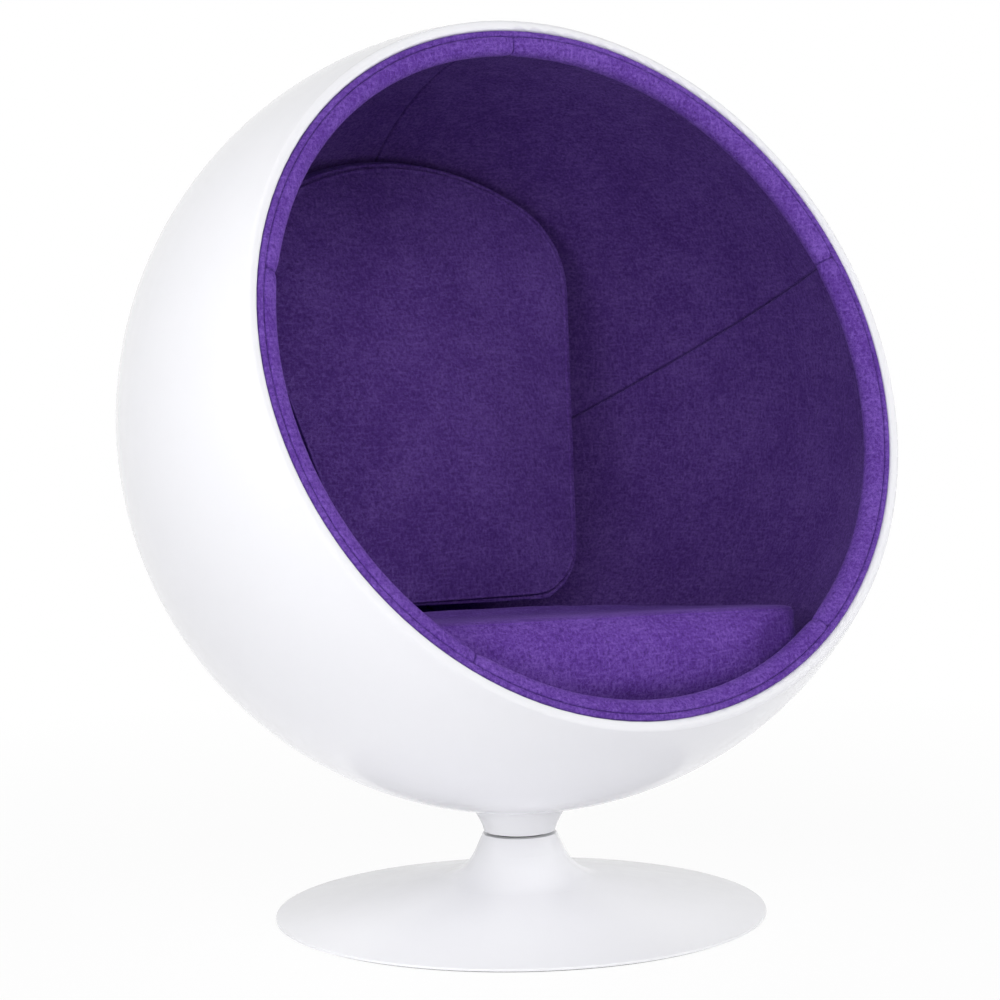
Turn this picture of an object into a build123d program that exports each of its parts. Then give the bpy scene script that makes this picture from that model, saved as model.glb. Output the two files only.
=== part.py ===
from build123d import *
import math
import os

# Ball chair: a gloss shell cut open at a slant, upholstered inside, turning on a trumpet foot.
# Millimetres. The swivel axis is Z, the floor is Z = 0 and the open front faces -Y.

# Ball and its opening
BALL_R = 525.0
SHELL_T = 5.0
OPENING_D = 209.5
OPENING_TILT = 21.8
LIP_W = 12.6
LIP_H = 14.0
LIP_ROUND = 5.5

# Trumpet foot
FOOT_R = 331.0
FOOT_T = 3.0
FOOT_SLOPE = 11.0
NECK_R = 50.0
NECK_FLARE = 24.0
NECK_FILLET = 68.0
NECK_TOP_T = 3.0
FOOT_H = 110.0
PAD_T = 2.0
PAD_MARGIN = 5.0
PLATE_T = 8.0
PLATE_MARGIN = 9.5

# Swivel
NECK_GAP = 3.5
SPINDLE_R = 17.5
BUSH_WALL = 2.45
BUSH_L = 20.0
TUBE_WALL = 6.0
TUBE_FLANGE_R = 60.0
TUBE_FLANGE_T = 8.0
HOUSING_WALL = 3.0
HOUSING_H = 16.0
RACE_IN_R = 25.0
RACE_OUT_R = 35.0
RACE_T = 4.5
BEARING_BALL_R = 4.5
BEARING_BALLS = 14
BEARING_H = 14.0
CAGE_T = 3.0
CAGE_W = 12.0
SPINDLE_FLANGE_T = 8.0
SPINDLE_FLANGE_LAP = 1.0
WASHER_T = 2.7
RING_T = 1.7
GROOVE_DEPTH = 1.7
RING_OPENING = 9.0
END_STUB = 1.6
RETAINER_LAP = 9.5

# Collar between the swivel and the ball
COLLAR_H = 30.5
COLLAR_TOP_R = 66.0
COLLAR_FOOT_IN = 2.0
COLLAR_WAIST = 2.0

# Fasteners
BOLT_R = 4.0
BOLT_HEAD_R = 7.0
BOLT_HEAD_H = 5.0
BOLT_WASHER_R = 9.0
BOLT_WASHER_T = 1.6
BOLT_COUNT = 4
BOLT_BITE = 6.0
BOLT_CIRCLE_R = 25.5
TUBE_BOLT_CIRCLE_R = 45.0
DISC_R = 80.0
DISC_T = 10.0

# Lining and rim roll
FOAM_T = 18.0
FABRIC_T = 2.5
GORES = 5
WELT_W = 8.4
WELT_H = 11.0
WELT_ROUND = 3.0
BAND_W = 25.5
BAND_FALL = 17.0
BAND_CROWN = 3.0
BAND_ROUND = 9.0
ROLL_DEPTH = 60.0

# Seat cushion, placed in the ball
SEAT_BED = 77.3
SEAT_TILT = 6.0
SEAT_T = 158.0
SEAT_SETBACK = 67.4
SEAT_SIDE_ROOM = 50.0
SEAT_SWELL = 24.0
SEAT_BULGE = 46.0
SEAT_FOOT_IN = 8.0
SEAT_CORNER = 62.0
SEAT_CROWN = 12.0
SEAT_LEVELS = 5

# Back cushion, standing on the seat and leaning on the lining
BACK_LEAN = 20.0
BACK_REST = 210.3
BACK_HEADROOM = 19.5
BACK_ARCH_R = 400.0
BACK_SHOULDER_R = 120.0
BACK_HALF_W = 257.0
BACK_TAPER = 11.5
BACK_CORNER_R = 90.0
BACK_LAP = 2.2
BACK_T = 100.0
BACK_CROWN = 30.0
BACK_SWELL = 1.04

# A crown is a quarter ellipse, lofted in steps up to a small flat
CROWN_STEPS = 4
CROWN_END = 84.0

# Clearances
RUN_GAP = 0.05
BALL_GAP = 0.1
FIT_GAP = 0.1
LAYER_GAP = 0.2
SEAM_GAP = 0.4
SOFT_GAP = 0.8
END_PLAY = 0.3

# Levels and radii that follow from the sizes above
PLATE_TOP = PAD_T + PLATE_T
RACE_MID_Z = FOOT_H + NECK_GAP / 2
LOWER_RACE_Z = RACE_MID_Z - BEARING_H / 2
UPPER_RACE_Z = RACE_MID_Z + BEARING_H / 2 - RACE_T
SPINDLE_FLANGE_Z = UPPER_RACE_Z + RACE_T
SPINDLE_FLANGE_R = RACE_OUT_R + SPINDLE_FLANGE_LAP
RACE_PITCH_R = (RACE_IN_R + RACE_OUT_R) / 2
BUSH_R = SPINDLE_R + RUN_GAP + BUSH_WALL
TUBE_R = BUSH_R + TUBE_WALL
HOUSING_R = RACE_OUT_R + FIT_GAP + HOUSING_WALL
HOUSING_TOP = LOWER_RACE_Z + RACE_T - FIT_GAP
WASHER_Z = PLATE_TOP - END_PLAY - WASHER_T
RING_Z = WASHER_Z - RING_T
SPINDLE_END_Z = RING_Z - END_STUB
RETAINER_R = SPINDLE_R + RETAINER_LAP
COLLAR_Z = FOOT_H + NECK_GAP
BALL_BOTTOM = COLLAR_Z + COLLAR_H
BALL_Z = BALL_BOTTOM + BALL_R
SHELL_IN_R = BALL_R - SHELL_T
FOAM_OUT_R = SHELL_IN_R - LAYER_GAP
FOAM_IN_R = FOAM_OUT_R - FOAM_T
LINING_OUT_R = FOAM_IN_R - LAYER_GAP
LINING_R = LINING_OUT_R - FABRIC_T
CUSHION_R = LINING_R - SOFT_GAP
DISC_TOP = BALL_Z - SHELL_IN_R + DISC_T
SEAT_DROP = CUSHION_R - SEAT_BED - SEAT_T
SEAT_ROUND_R = math.sqrt(CUSHION_R**2 - SEAT_DROP**2) - SEAT_SIDE_ROOM
BACK_OFFSET = CUSHION_R - BACK_REST - BACK_T
BACK_TOP = math.sqrt(CUSHION_R**2 - BACK_OFFSET**2) - BACK_HEADROOM
BACK_TO_SEAT = math.radians(BACK_LEAN - SEAT_TILT)
SEAT_TOP_DROP = SEAT_DROP - SEAT_CROWN
BACK_FOOT = (SEAT_TOP_DROP - BACK_OFFSET * math.sin(BACK_TO_SEAT)) / math.cos(BACK_TO_SEAT) + BACK_LAP
LIP_IN_R = math.sqrt(BALL_R**2 - OPENING_D**2) - LIP_W
ROLL_BACK_D = OPENING_D - ROLL_DEPTH
GORE_ANGLE = 360.0 / GORES
TOP_SEAM_ANGLE = 90.0

# The opening's own frame: Z out of the ball along the opening's axis, Y up along the opening
TILT = math.radians(OPENING_TILT)
RIM = Plane(origin=(0, 0, BALL_Z), x_dir=(1, 0, 0), z_dir=(0, -math.cos(TILT), math.sin(TILT)))

parts = {}


def on_sphere(radius, along):
    """Point of a circle about the origin, at a height along its axis."""
    return (math.sqrt(radius**2 - along**2), along)


def arc_to(start, end, radius):
    """Arc about the origin from start to end, which lie on the circle of that radius."""
    middle = (math.atan2(start[1], start[0]) + math.atan2(end[1], end[0])) / 2
    return ThreePointArc(start, (radius * math.cos(middle), radius * math.sin(middle)), end)


def turned(profile, angle=360.0):
    """Solid made by turning a face, drawn as radius and height, about Z."""
    return revolve(Plane.XZ * profile, Axis.Z, angle)


def outline(points):
    """Face inside a closed run of straight lines."""
    return make_face(Polyline(*points, close=True))


def ring(inner, outer, low, high):
    """Plain ring or, with no inner radius, disc about Z."""
    return turned(outline([(inner, low), (outer, low), (outer, high), (inner, high)]))


def corner(face, point):
    """The corner of a face nearest to a point."""
    return face.vertices().sort_by_distance(Vector(*point))[0]


def around(shape, count, radius, start=45.0):
    """Copies of a shape spread evenly on a circle about Z."""
    places = PolarLocations(radius, count, start_angle=start)
    return Compound([place * shape for place in places])


def column(radius, low, high):
    """Round bar along Z."""
    return Pos(0, 0, low) * Cylinder(radius, high - low, align=(Align.CENTER, Align.CENTER, Align.MIN))


# Foot

def foot_line(inset):
    """Corners of the trumpet's outer line, moved inwards square to the wall."""
    slope = math.radians(FOOT_SLOPE)
    flare = math.radians(NECK_FLARE)
    edge_z = PAD_T + FOOT_T - inset / math.cos(slope)
    neck_r = NECK_R - inset / math.cos(flare)
    rise = math.tan(slope)
    lean = math.tan(flare)
    bend_z = (edge_z + (FOOT_R - neck_r - FOOT_H * lean) * rise) / (1 - lean * rise)
    bend_r = neck_r + (FOOT_H - bend_z) * lean
    return (FOOT_R, edge_z), (bend_r, bend_z), (neck_r, FOOT_H)


def neck_bend(bend, neck):
    """Radius of the bend from the slope into the neck, as far as the neck's length takes it."""
    turn = math.radians(90 - FOOT_SLOPE - NECK_FLARE)
    room = math.dist(bend, neck) - NECK_TOP_T
    return min(NECK_FILLET, room / math.tan(turn / 2))


def make_pedestal():
    """Spun trumpet with an inward lip at its neck, which centres it on the bearing housing."""
    edge, bend, neck = foot_line(0)
    in_edge, in_bend, in_neck = foot_line(FOOT_T)
    foot_rise = math.tan(math.radians(FOOT_SLOPE))
    in_foot_r = FOOT_R - (PAD_T - in_edge[1]) / foot_rise
    lip_z = FOOT_H - NECK_TOP_T
    in_lip_r = in_neck[0] + NECK_TOP_T * math.tan(math.radians(NECK_FLARE))
    hole_r = HOUSING_R + FIT_GAP
    bend_r = neck_bend(bend, neck)
    face = outline([
        (FOOT_R, PAD_T), edge, bend, neck, (hole_r, FOOT_H), (hole_r, lip_z),
        (in_lip_r, lip_z), in_bend, (in_foot_r, PAD_T),
    ])
    face = fillet(corner(face, bend), bend_r)
    face = fillet(corner(face, in_bend), bend_r + FOOT_T)
    face = fillet(corner(face, edge), FOOT_T / 3)
    face = fillet(corner(face, neck), NECK_TOP_T / 3)
    return turned(face)


def make_base_plate():
    """Heavy disc with an access hole and countersunk holes for the tube's bolts."""
    hole_r = RETAINER_R + NECK_GAP
    in_edge = foot_line(FOOT_T)[0]
    room_r = FOOT_R - (PLATE_TOP - in_edge[1]) / math.tan(math.radians(FOOT_SLOPE))
    plate = ring(hole_r, room_r - PLATE_MARGIN, PAD_T, PLATE_TOP)
    sink = Cone(BOLT_HEAD_R + FIT_GAP, BOLT_R + FIT_GAP, BOLT_HEAD_H,
                align=(Align.CENTER, Align.CENTER, Align.MIN))
    shank = column(BOLT_R + FIT_GAP, 0, PLATE_T)
    return plate - Pos(0, 0, PAD_T) * around(sink + shank, BOLT_COUNT, TUBE_BOLT_CIRCLE_R)


def make_swivel_tube():
    """Flanged tube for the bushes, with the lower race's seat in its head."""
    housing_z = HOUSING_TOP - HOUSING_H
    bore = BUSH_R
    seat_r = RACE_OUT_R + FIT_GAP
    tube = turned(outline([
        (bore, PLATE_TOP), (TUBE_FLANGE_R, PLATE_TOP), (TUBE_FLANGE_R, PLATE_TOP + TUBE_FLANGE_T),
        (TUBE_R, PLATE_TOP + TUBE_FLANGE_T), (TUBE_R, housing_z - (HOUSING_R - TUBE_R)),
        (HOUSING_R, housing_z), (HOUSING_R, HOUSING_TOP), (seat_r, HOUSING_TOP),
        (seat_r, LOWER_RACE_Z), (bore, LOWER_RACE_Z),
    ]))
    tapped = column(BOLT_R + RUN_GAP, PLATE_TOP, PLATE_TOP + BOLT_BITE)
    return tube - around(tapped, BOLT_COUNT, TUBE_BOLT_CIRCLE_R)


def make_tube_bolts():
    """Countersunk bolts from under the plate into the tube's flange."""
    head = Pos(0, 0, PAD_T) * Cone(BOLT_HEAD_R, BOLT_R, BOLT_HEAD_H,
                                   align=(Align.CENTER, Align.CENTER, Align.MIN))
    bolt = head + column(BOLT_R, PAD_T + BOLT_HEAD_H, PLATE_TOP + BOLT_BITE)
    return around(bolt, BOLT_COUNT, TUBE_BOLT_CIRCLE_R)


def make_race(low, groove_z):
    """Washer of the thrust bearing with its ball groove."""
    race = ring(RACE_IN_R, RACE_OUT_R, low, low + RACE_T)
    return race - Pos(0, 0, groove_z) * Torus(RACE_PITCH_R, BEARING_BALL_R + BALL_GAP)


def make_cage():
    """Flat ring with a pocket for each bearing ball."""
    cage = ring(RACE_PITCH_R - CAGE_W / 2, RACE_PITCH_R + CAGE_W / 2,
                RACE_MID_Z - CAGE_T / 2, RACE_MID_Z + CAGE_T / 2)
    pocket = Pos(0, 0, RACE_MID_Z) * Sphere(BEARING_BALL_R + BALL_GAP)
    return cage - around(pocket, BEARING_BALLS, RACE_PITCH_R, 0)


FOOT_BUSH_Z = PLATE_TOP + TUBE_FLANGE_T
HEAD_BUSH_Z = LOWER_RACE_Z - BUSH_L
parts["floor_pad"] = ring(0, FOOT_R - PAD_MARGIN, 0, PAD_T)
parts["pedestal"] = make_pedestal()
parts["base_plate"] = make_base_plate()
parts["swivel_tube"] = make_swivel_tube()
parts["tube_bolts"] = make_tube_bolts()
parts["lower_bush"] = ring(SPINDLE_R + RUN_GAP, BUSH_R, FOOT_BUSH_Z, FOOT_BUSH_Z + BUSH_L)
parts["upper_bush"] = ring(SPINDLE_R + RUN_GAP, BUSH_R, HEAD_BUSH_Z, HEAD_BUSH_Z + BUSH_L)
parts["lower_race"] = make_race(LOWER_RACE_Z, RACE_MID_Z)
parts["upper_race"] = make_race(UPPER_RACE_Z, RACE_MID_Z)
parts["bearing_cage"] = make_cage()
parts["bearing_balls"] = Pos(0, 0, RACE_MID_Z) * around(
    Sphere(BEARING_BALL_R), BEARING_BALLS, RACE_PITCH_R, 0)


# Swivel spindle, its retainer and the collar

def make_spindle():
    """Post with a bolting flange at its head and a ring groove at its foot."""
    groove_r = SPINDLE_R - GROOVE_DEPTH
    spindle = turned(outline([
        (0, SPINDLE_END_Z), (SPINDLE_R, SPINDLE_END_Z), (SPINDLE_R, RING_Z), (groove_r, RING_Z),
        (groove_r, WASHER_Z), (SPINDLE_R, WASHER_Z), (SPINDLE_R, SPINDLE_FLANGE_Z),
        (SPINDLE_FLANGE_R, SPINDLE_FLANGE_Z), (SPINDLE_FLANGE_R, SPINDLE_FLANGE_Z + SPINDLE_FLANGE_T),
        (0, SPINDLE_FLANGE_Z + SPINDLE_FLANGE_T),
    ]))
    top = SPINDLE_FLANGE_Z + SPINDLE_FLANGE_T
    tapped = column(BOLT_R + RUN_GAP, top - BOLT_BITE, top)
    return spindle - around(tapped, BOLT_COUNT, BOLT_CIRCLE_R)


def make_retaining_ring():
    """Open spring ring in the spindle's groove."""
    groove_r = SPINDLE_R - GROOVE_DEPTH
    whole = ring(groove_r + RUN_GAP, RETAINER_R - RETAINER_LAP / 2, RING_Z, WASHER_Z)
    opening = Pos(RETAINER_R / 2, 0, RING_Z) * Box(
        RETAINER_R, RING_OPENING, RING_T, align=(Align.CENTER, Align.CENTER, Align.MIN))
    return whole - opening


def make_collar():
    """Flared collar, hollowed for the spindle's flange and dished to the ball."""
    recess_r = SPINDLE_FLANGE_R + FIT_GAP
    recess_z = SPINDLE_FLANGE_Z + SPINDLE_FLANGE_T + FIT_GAP
    seat_r = BALL_R + RUN_GAP
    rim_z = BALL_Z - math.sqrt(seat_r**2 - COLLAR_TOP_R**2)
    foot_r = NECK_R - COLLAR_FOOT_IN
    foot = (foot_r, COLLAR_Z)
    rim = (COLLAR_TOP_R, rim_z)
    waist = ((foot_r + COLLAR_TOP_R) / 2 - COLLAR_WAIST, (COLLAR_Z + rim_z) / 2)
    dish = ThreePointArc(
        rim, (COLLAR_TOP_R / 2, BALL_Z - math.sqrt(seat_r**2 - COLLAR_TOP_R**2 / 4)), (0, BALL_Z - seat_r))
    rest = Polyline((0, BALL_Z - seat_r), (0, recess_z), (recess_r, recess_z), (recess_r, COLLAR_Z), foot)
    collar = turned(make_face(Curve() + [ThreePointArc(foot, waist, rim), dish, rest]))
    return collar - around(column(BOLT_R + FIT_GAP, COLLAR_Z, BALL_Z), BOLT_COUNT, BOLT_CIRCLE_R)


def make_mounting_disc():
    """Pad bonded in the bottom of the shell, flat on top for the bolts' washers."""
    seat_r = SHELL_IN_R - RUN_GAP
    rim = (DISC_R, BALL_Z - math.sqrt(seat_r**2 - DISC_R**2))
    bowl = ThreePointArc(
        (0, BALL_Z - seat_r), (DISC_R / 2, BALL_Z - math.sqrt(seat_r**2 - DISC_R**2 / 4)), rim)
    rest = Polyline(rim, (DISC_R, DISC_TOP), (0, DISC_TOP), (0, BALL_Z - seat_r))
    disc = turned(make_face(Curve() + [bowl, rest]))
    return disc - around(column(BOLT_R + FIT_GAP, BALL_BOTTOM, DISC_TOP), BOLT_COUNT, BOLT_CIRCLE_R)


def make_mounting_bolts():
    """Button-head bolts from inside the ball down into the spindle's flange."""
    seat = DISC_TOP + BOLT_WASHER_T
    end = SPINDLE_FLANGE_Z + SPINDLE_FLANGE_T - BOLT_BITE
    bolt = column(BOLT_R, end, seat) + column(BOLT_HEAD_R, seat, seat + BOLT_HEAD_H)
    return around(bolt, BOLT_COUNT, BOLT_CIRCLE_R)


parts["spindle"] = make_spindle()
parts["retaining_washer"] = ring(SPINDLE_R + RUN_GAP, RETAINER_R, WASHER_Z, WASHER_Z + WASHER_T)
parts["retaining_ring"] = make_retaining_ring()
parts["collar"] = make_collar()
parts["mounting_disc"] = make_mounting_disc()
parts["mounting_bolts"] = make_mounting_bolts()
parts["mounting_washers"] = around(
    ring(BOLT_R + FIT_GAP, BOLT_WASHER_R, DISC_TOP, DISC_TOP + BOLT_WASHER_T), BOLT_COUNT, BOLT_CIRCLE_R)


# Ball shell and its lining, turned about the opening's axis

def bowl_layer(outer, inner, front, angle=360.0):
    """Layer between two spheres, from the rear pole to a plane across the opening's axis."""
    outer_end = on_sphere(outer, front)
    inner_end = on_sphere(inner, front)
    edges = [
        arc_to((0, -outer), outer_end, outer),
        Line(outer_end, inner_end),
        arc_to(inner_end, (0, -inner), inner),
        Line((0, -inner), (0, -outer)),
    ]
    return turned(make_face(Curve() + edges), angle)


def make_shell():
    """Ball wall with a thick rounded lip at the opening and bolt holes in its bottom."""
    lip_out = on_sphere(BALL_R, OPENING_D)
    lip_in = (LIP_IN_R, OPENING_D)
    lip_back = (LIP_IN_R, OPENING_D - LIP_H)
    wall_in = on_sphere(SHELL_IN_R, OPENING_D - LIP_H)
    edges = [
        arc_to((0, -BALL_R), lip_out, BALL_R),
        Polyline(lip_out, lip_in, lip_back, wall_in),
        arc_to(wall_in, (0, -SHELL_IN_R), SHELL_IN_R),
        Line((0, -SHELL_IN_R), (0, -BALL_R)),
    ]
    face = make_face(Curve() + edges)
    for point in (lip_out, lip_in):
        face = fillet(corner(face, point), LIP_ROUND)
    holes = around(column(BOLT_R + FIT_GAP, COLLAR_Z, BALL_Z), BOLT_COUNT, BOLT_CIRCLE_R)
    return RIM * turned(face) - holes


def make_lining_foam():
    """Foam bonded inside the shell, open over the mounting disc."""
    opening = column(DISC_R + LAYER_GAP, COLLAR_Z, BALL_Z)
    return RIM * bowl_layer(FOAM_OUT_R, FOAM_IN_R, ROLL_BACK_D - LAYER_GAP) - opening


def roll_face(inset):
    """Section of the padded roll round the opening, with its showing faces moved in."""
    welt_back = OPENING_D - WELT_H - LAYER_GAP
    lip_back = OPENING_D - LIP_H - LAYER_GAP
    nose = (ROLL_NOSE[0] + inset, ROLL_NOSE[1] - inset)
    top = (SEAM_R, OPENING_D - inset)
    side = Vector(top[0] - nose[0], top[1] - nose[1])
    square = Vector(-side.Y, side.X).normalized()
    middle = ((top[0] + nose[0]) / 2 + square.X * BAND_CROWN, (top[1] + nose[1]) / 2 + square.Y * BAND_CROWN)
    heel = (ROLL_HEEL[0] + inset, ROLL_HEEL[1])
    hollow_r = SHELL_IN_R - LAYER_GAP
    back = on_sphere(hollow_r, ROLL_BACK_D)
    under_lip = on_sphere(hollow_r, lip_back)
    edges = [
        ThreePointArc(top, middle, nose),
        Polyline(nose, heel, back),
        arc_to(back, under_lip, hollow_r),
        Polyline(under_lip, (LIP_IN_R, lip_back), (LIP_IN_R, welt_back), (SEAM_R, welt_back), top),
    ]
    face = make_face(Curve() + edges)
    return fillet(corner(face, nose), BAND_ROUND - inset)


def make_welt():
    """Narrow sewn edge between the lip and the band."""
    outer = LIP_IN_R - SEAM_GAP
    inner = outer - WELT_W
    face = outline([
        (inner, OPENING_D - WELT_H), (outer, OPENING_D - WELT_H), (outer, OPENING_D), (inner, OPENING_D)])
    for point in ((inner, OPENING_D), (outer, OPENING_D)):
        face = fillet(corner(face, point), WELT_ROUND)
    return RIM * turned(face)


SEAM_R = LIP_IN_R - SEAM_GAP - WELT_W - SEAM_GAP
ROLL_NOSE = (SEAM_R - BAND_W, OPENING_D - BAND_FALL)
ROLL_HEEL = on_sphere(LINING_R, ROLL_BACK_D)
SEAT_TO_RIM = TILT - math.radians(SEAT_TILT)
NOSE_REACH = ROLL_NOSE[1] * math.cos(SEAT_TO_RIM) + ROLL_NOSE[0] * math.sin(SEAT_TO_RIM)
SEAT_FRONT = NOSE_REACH - SEAT_SETBACK
ROLL_CORE = roll_face(FABRIC_T)
ROLL_SKIN = roll_face(0) - ROLL_CORE
parts["shell"] = make_shell()
parts["lining_foam"] = make_lining_foam()
parts["rim_foam"] = RIM * turned(ROLL_CORE)
parts["rim_welt"] = make_welt()
for number in range(GORES):
    place = RIM * Rot(0, 0, TOP_SEAM_ANGLE + number * GORE_ANGLE)
    gore = bowl_layer(LINING_OUT_R, LINING_R, ROLL_BACK_D - LAYER_GAP, GORE_ANGLE)
    parts[f"lining_gore_{number + 1}"] = place * gore
    parts[f"rim_band_{number + 1}"] = place * turned(ROLL_SKIN, GORE_ANGLE)


# Cushions

def crown_steps():
    """Shares of the outline and of the rise, up a quarter ellipse."""
    angles = [math.radians(CROWN_END * (step + 1) / CROWN_STEPS) for step in range(CROWN_STEPS)]
    return [(math.cos(angle), math.sin(angle)) for angle in angles]


def shrunk(face, share):
    """Copy of a face, smaller about its own middle."""
    middle = face.center()
    return Pos(middle) * scale(Pos(-middle) * face, by=(share, share, 1))


def seat_outline(front, swell, skin):
    """Outline of the seat cushion: round, with a straight front."""
    round_r = SEAT_ROUND_R + swell - skin
    front = front - skin
    bend = SEAT_CORNER - skin
    across = math.sqrt((round_r - bend)**2 - (front - bend)**2)
    reach = round_r / (round_r - bend)
    side = (across * reach, (bend - front) * reach)
    rounding = math.atan2(bend - front, across)
    halfway = (rounding - math.pi / 2) / 2
    knee = (across + bend * math.cos(halfway), bend - front + bend * math.sin(halfway))
    flank = (rounding + math.pi / 2) / 2
    edges = [
        ThreePointArc(side, (round_r * math.cos(flank), round_r * math.sin(flank)), (0, round_r)),
        ThreePointArc((0, round_r), (-round_r * math.cos(flank), round_r * math.sin(flank)),
                      (-side[0], side[1])),
        ThreePointArc((-side[0], side[1]), (-knee[0], knee[1]), (-across, -front)),
        Line((-across, -front), (across, -front)),
        ThreePointArc((across, -front), knee, side),
    ]
    return make_face(Curve() + edges)


def roll_room(skin):
    """Space round the opening that the roll takes up, with the seat's clearance."""
    nose_r = ROLL_NOSE[0] - SOFT_GAP - skin
    heel_r = ROLL_HEEL[0] - SOFT_GAP - skin
    return RIM * turned(outline([
        (nose_r, ROLL_NOSE[1]), (nose_r, BALL_R), (BALL_R, BALL_R), (BALL_R, ROLL_HEEL[1]),
        (heel_r, ROLL_HEEL[1]),
    ]))


def seat_form(skin):
    """Seat cushion: full sides cut to the ball below, a full front and a crowned top."""
    top = SEAT_DROP + skin
    foot = SEAT_DROP + SEAT_T - skin
    sections = []
    for level in range(SEAT_LEVELS):
        share = level / (SEAT_LEVELS - 1)
        drop = top + (foot - top) * share
        full = math.sin(math.pi * share)
        front = SEAT_FRONT + SEAT_BULGE * full - SEAT_FOOT_IN * share
        sections.append(Pos(0, 0, -drop) * seat_outline(front, SEAT_SWELL * full, skin))
    seam = seat_outline(SEAT_FRONT, 0, skin)
    crown = [Pos(0, 0, -top) * seam]
    for share, rise in crown_steps():
        crown.append(Pos(0, 0, -top + SEAT_CROWN * rise) * shrunk(seam, share))
    whole = (loft(sections) + loft(crown)) & Sphere(CUSHION_R - skin)
    return Pos(0, 0, BALL_Z) * Rot(-SEAT_TILT, 0, 0) * whole - roll_room(skin)


def back_outline(skin):
    """Outline of the back cushion: arched top, round shoulders and sides that draw in downwards."""
    taper = math.radians(BACK_TAPER)
    along = Vector(math.sin(taper), math.cos(taper))
    inward = Vector(-math.cos(taper), math.sin(taper))
    arch_r = BACK_ARCH_R - skin
    shoulder_r = BACK_SHOULDER_R - skin
    corner_r = BACK_CORNER_R - skin
    arch_y = BACK_TOP - BACK_ARCH_R
    widest_y = arch_y + (BACK_ARCH_R - BACK_SHOULDER_R) / 2
    edge = Vector(BACK_HALF_W, widest_y) + inward * skin
    foot_y = -BACK_FOOT + skin
    near = edge + inward * shoulder_r - Vector(0, arch_y)
    reach = arch_r - shoulder_r
    dot = near.dot(along)
    step = -dot + math.sqrt(dot**2 - near.dot(near) + reach**2)
    shoulder = edge + inward * shoulder_r + along * step
    slide = (foot_y + corner_r - (edge + inward * corner_r).Y) / along.Y
    heel = edge + inward * corner_r + along * slide
    crown_dir = (shoulder - Vector(0, arch_y)).normalized()
    arch_end = Vector(0, arch_y) + crown_dir * arch_r
    shoulder_end = shoulder - inward * shoulder_r
    shoulder_mid = shoulder + (crown_dir - inward).normalized() * shoulder_r
    heel_start = heel - inward * corner_r
    heel_mid = heel + (Vector(0, -1) - inward).normalized() * corner_r
    heel_end = heel + Vector(0, -corner_r)

    def flip(point):
        return Vector(-point.X, point.Y)

    edges = [
        ThreePointArc(flip(arch_end), Vector(0, arch_y + arch_r), arch_end),
        ThreePointArc(arch_end, shoulder_mid, shoulder_end),
        Line(shoulder_end, heel_start),
        ThreePointArc(heel_start, heel_mid, heel_end),
        Line(heel_end, flip(heel_end)),
        ThreePointArc(flip(heel_end), flip(heel_mid), flip(heel_start)),
        Line(flip(heel_start), flip(shoulder_end)),
        ThreePointArc(flip(shoulder_end), flip(shoulder_mid), flip(arch_end)),
    ]
    return make_face(Curve() + edges)


def back_form(skin):
    """Back cushion: crowned face and a full border, trimmed to the lining and the seat."""
    seam = back_outline(skin)

    def section(share, depth):
        return Pos(0, 0, -BACK_OFFSET - depth) * shrunk(seam, share)

    near = skin
    far = BACK_T - skin
    front = [section(1, near)] + [section(share, near - BACK_CROWN * rise) for share, rise in crown_steps()]
    border = [section(1, near), section(BACK_SWELL, (near + far) / 2), section(1, far)]
    lean = math.radians(BACK_LEAN)
    plane = Plane(origin=(0, 0, BALL_Z), x_dir=(1, 0, 0), z_dir=(0, -math.cos(lean), math.sin(lean)))
    room = Pos(0, 0, BALL_Z) * Sphere(CUSHION_R - skin)
    floor_drop = SEAT_TOP_DROP - SOFT_GAP - skin
    above = Pos(0, 0, BALL_Z) * Rot(-SEAT_TILT, 0, 0) * Pos(0, 0, -floor_drop) * Box(
        2 * BALL_R, 2 * BALL_R, 2 * BALL_R, align=(Align.CENTER, Align.CENTER, Align.MIN))
    return (plane * (loft(front) + loft(border))) & room & above


parts["seat_cover"] = seat_form(0) - seat_form(FABRIC_T)
parts["seat_foam"] = seat_form(FABRIC_T + LAYER_GAP)
parts["back_cover"] = back_form(0) - back_form(FABRIC_T)
parts["back_foam"] = back_form(FABRIC_T + LAYER_GAP)

os.makedirs("parts", exist_ok=True)
for name, part in parts.items():
    export_step(part, f"parts/{name}.step")
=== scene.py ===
import logging
import math
from collections.abc import Iterable
from dataclasses import dataclass, replace
from enum import Enum

import bmesh
import bpy
from mathutils import Matrix, Vector


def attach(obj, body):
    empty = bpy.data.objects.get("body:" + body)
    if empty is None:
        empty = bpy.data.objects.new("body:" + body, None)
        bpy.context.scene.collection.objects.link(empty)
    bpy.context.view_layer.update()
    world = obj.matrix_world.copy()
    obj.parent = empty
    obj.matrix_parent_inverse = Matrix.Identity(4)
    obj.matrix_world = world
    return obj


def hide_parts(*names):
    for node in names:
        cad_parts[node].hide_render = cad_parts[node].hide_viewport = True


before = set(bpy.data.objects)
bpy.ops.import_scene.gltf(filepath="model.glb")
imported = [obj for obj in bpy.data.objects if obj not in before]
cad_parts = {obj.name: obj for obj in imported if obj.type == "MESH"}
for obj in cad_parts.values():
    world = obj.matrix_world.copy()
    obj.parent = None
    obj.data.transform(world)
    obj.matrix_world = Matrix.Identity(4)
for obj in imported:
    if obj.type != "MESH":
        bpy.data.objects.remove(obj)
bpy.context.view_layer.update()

LOG = logging.getLogger("ball_chair")
WELD = 1e-5
FINE_WELD = 1e-6
FULL_TURN = 2.0 * math.pi
QUARTER_TURN = math.pi / 2
ORIGIN = Vector((0.0, 0.0, 0.0))
RIGHT = Vector((1.0, 0.0, 0.0))
REAR = Vector((0.0, 1.0, 0.0))
UP = Vector((0.0, 0.0, 1.0))

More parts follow.
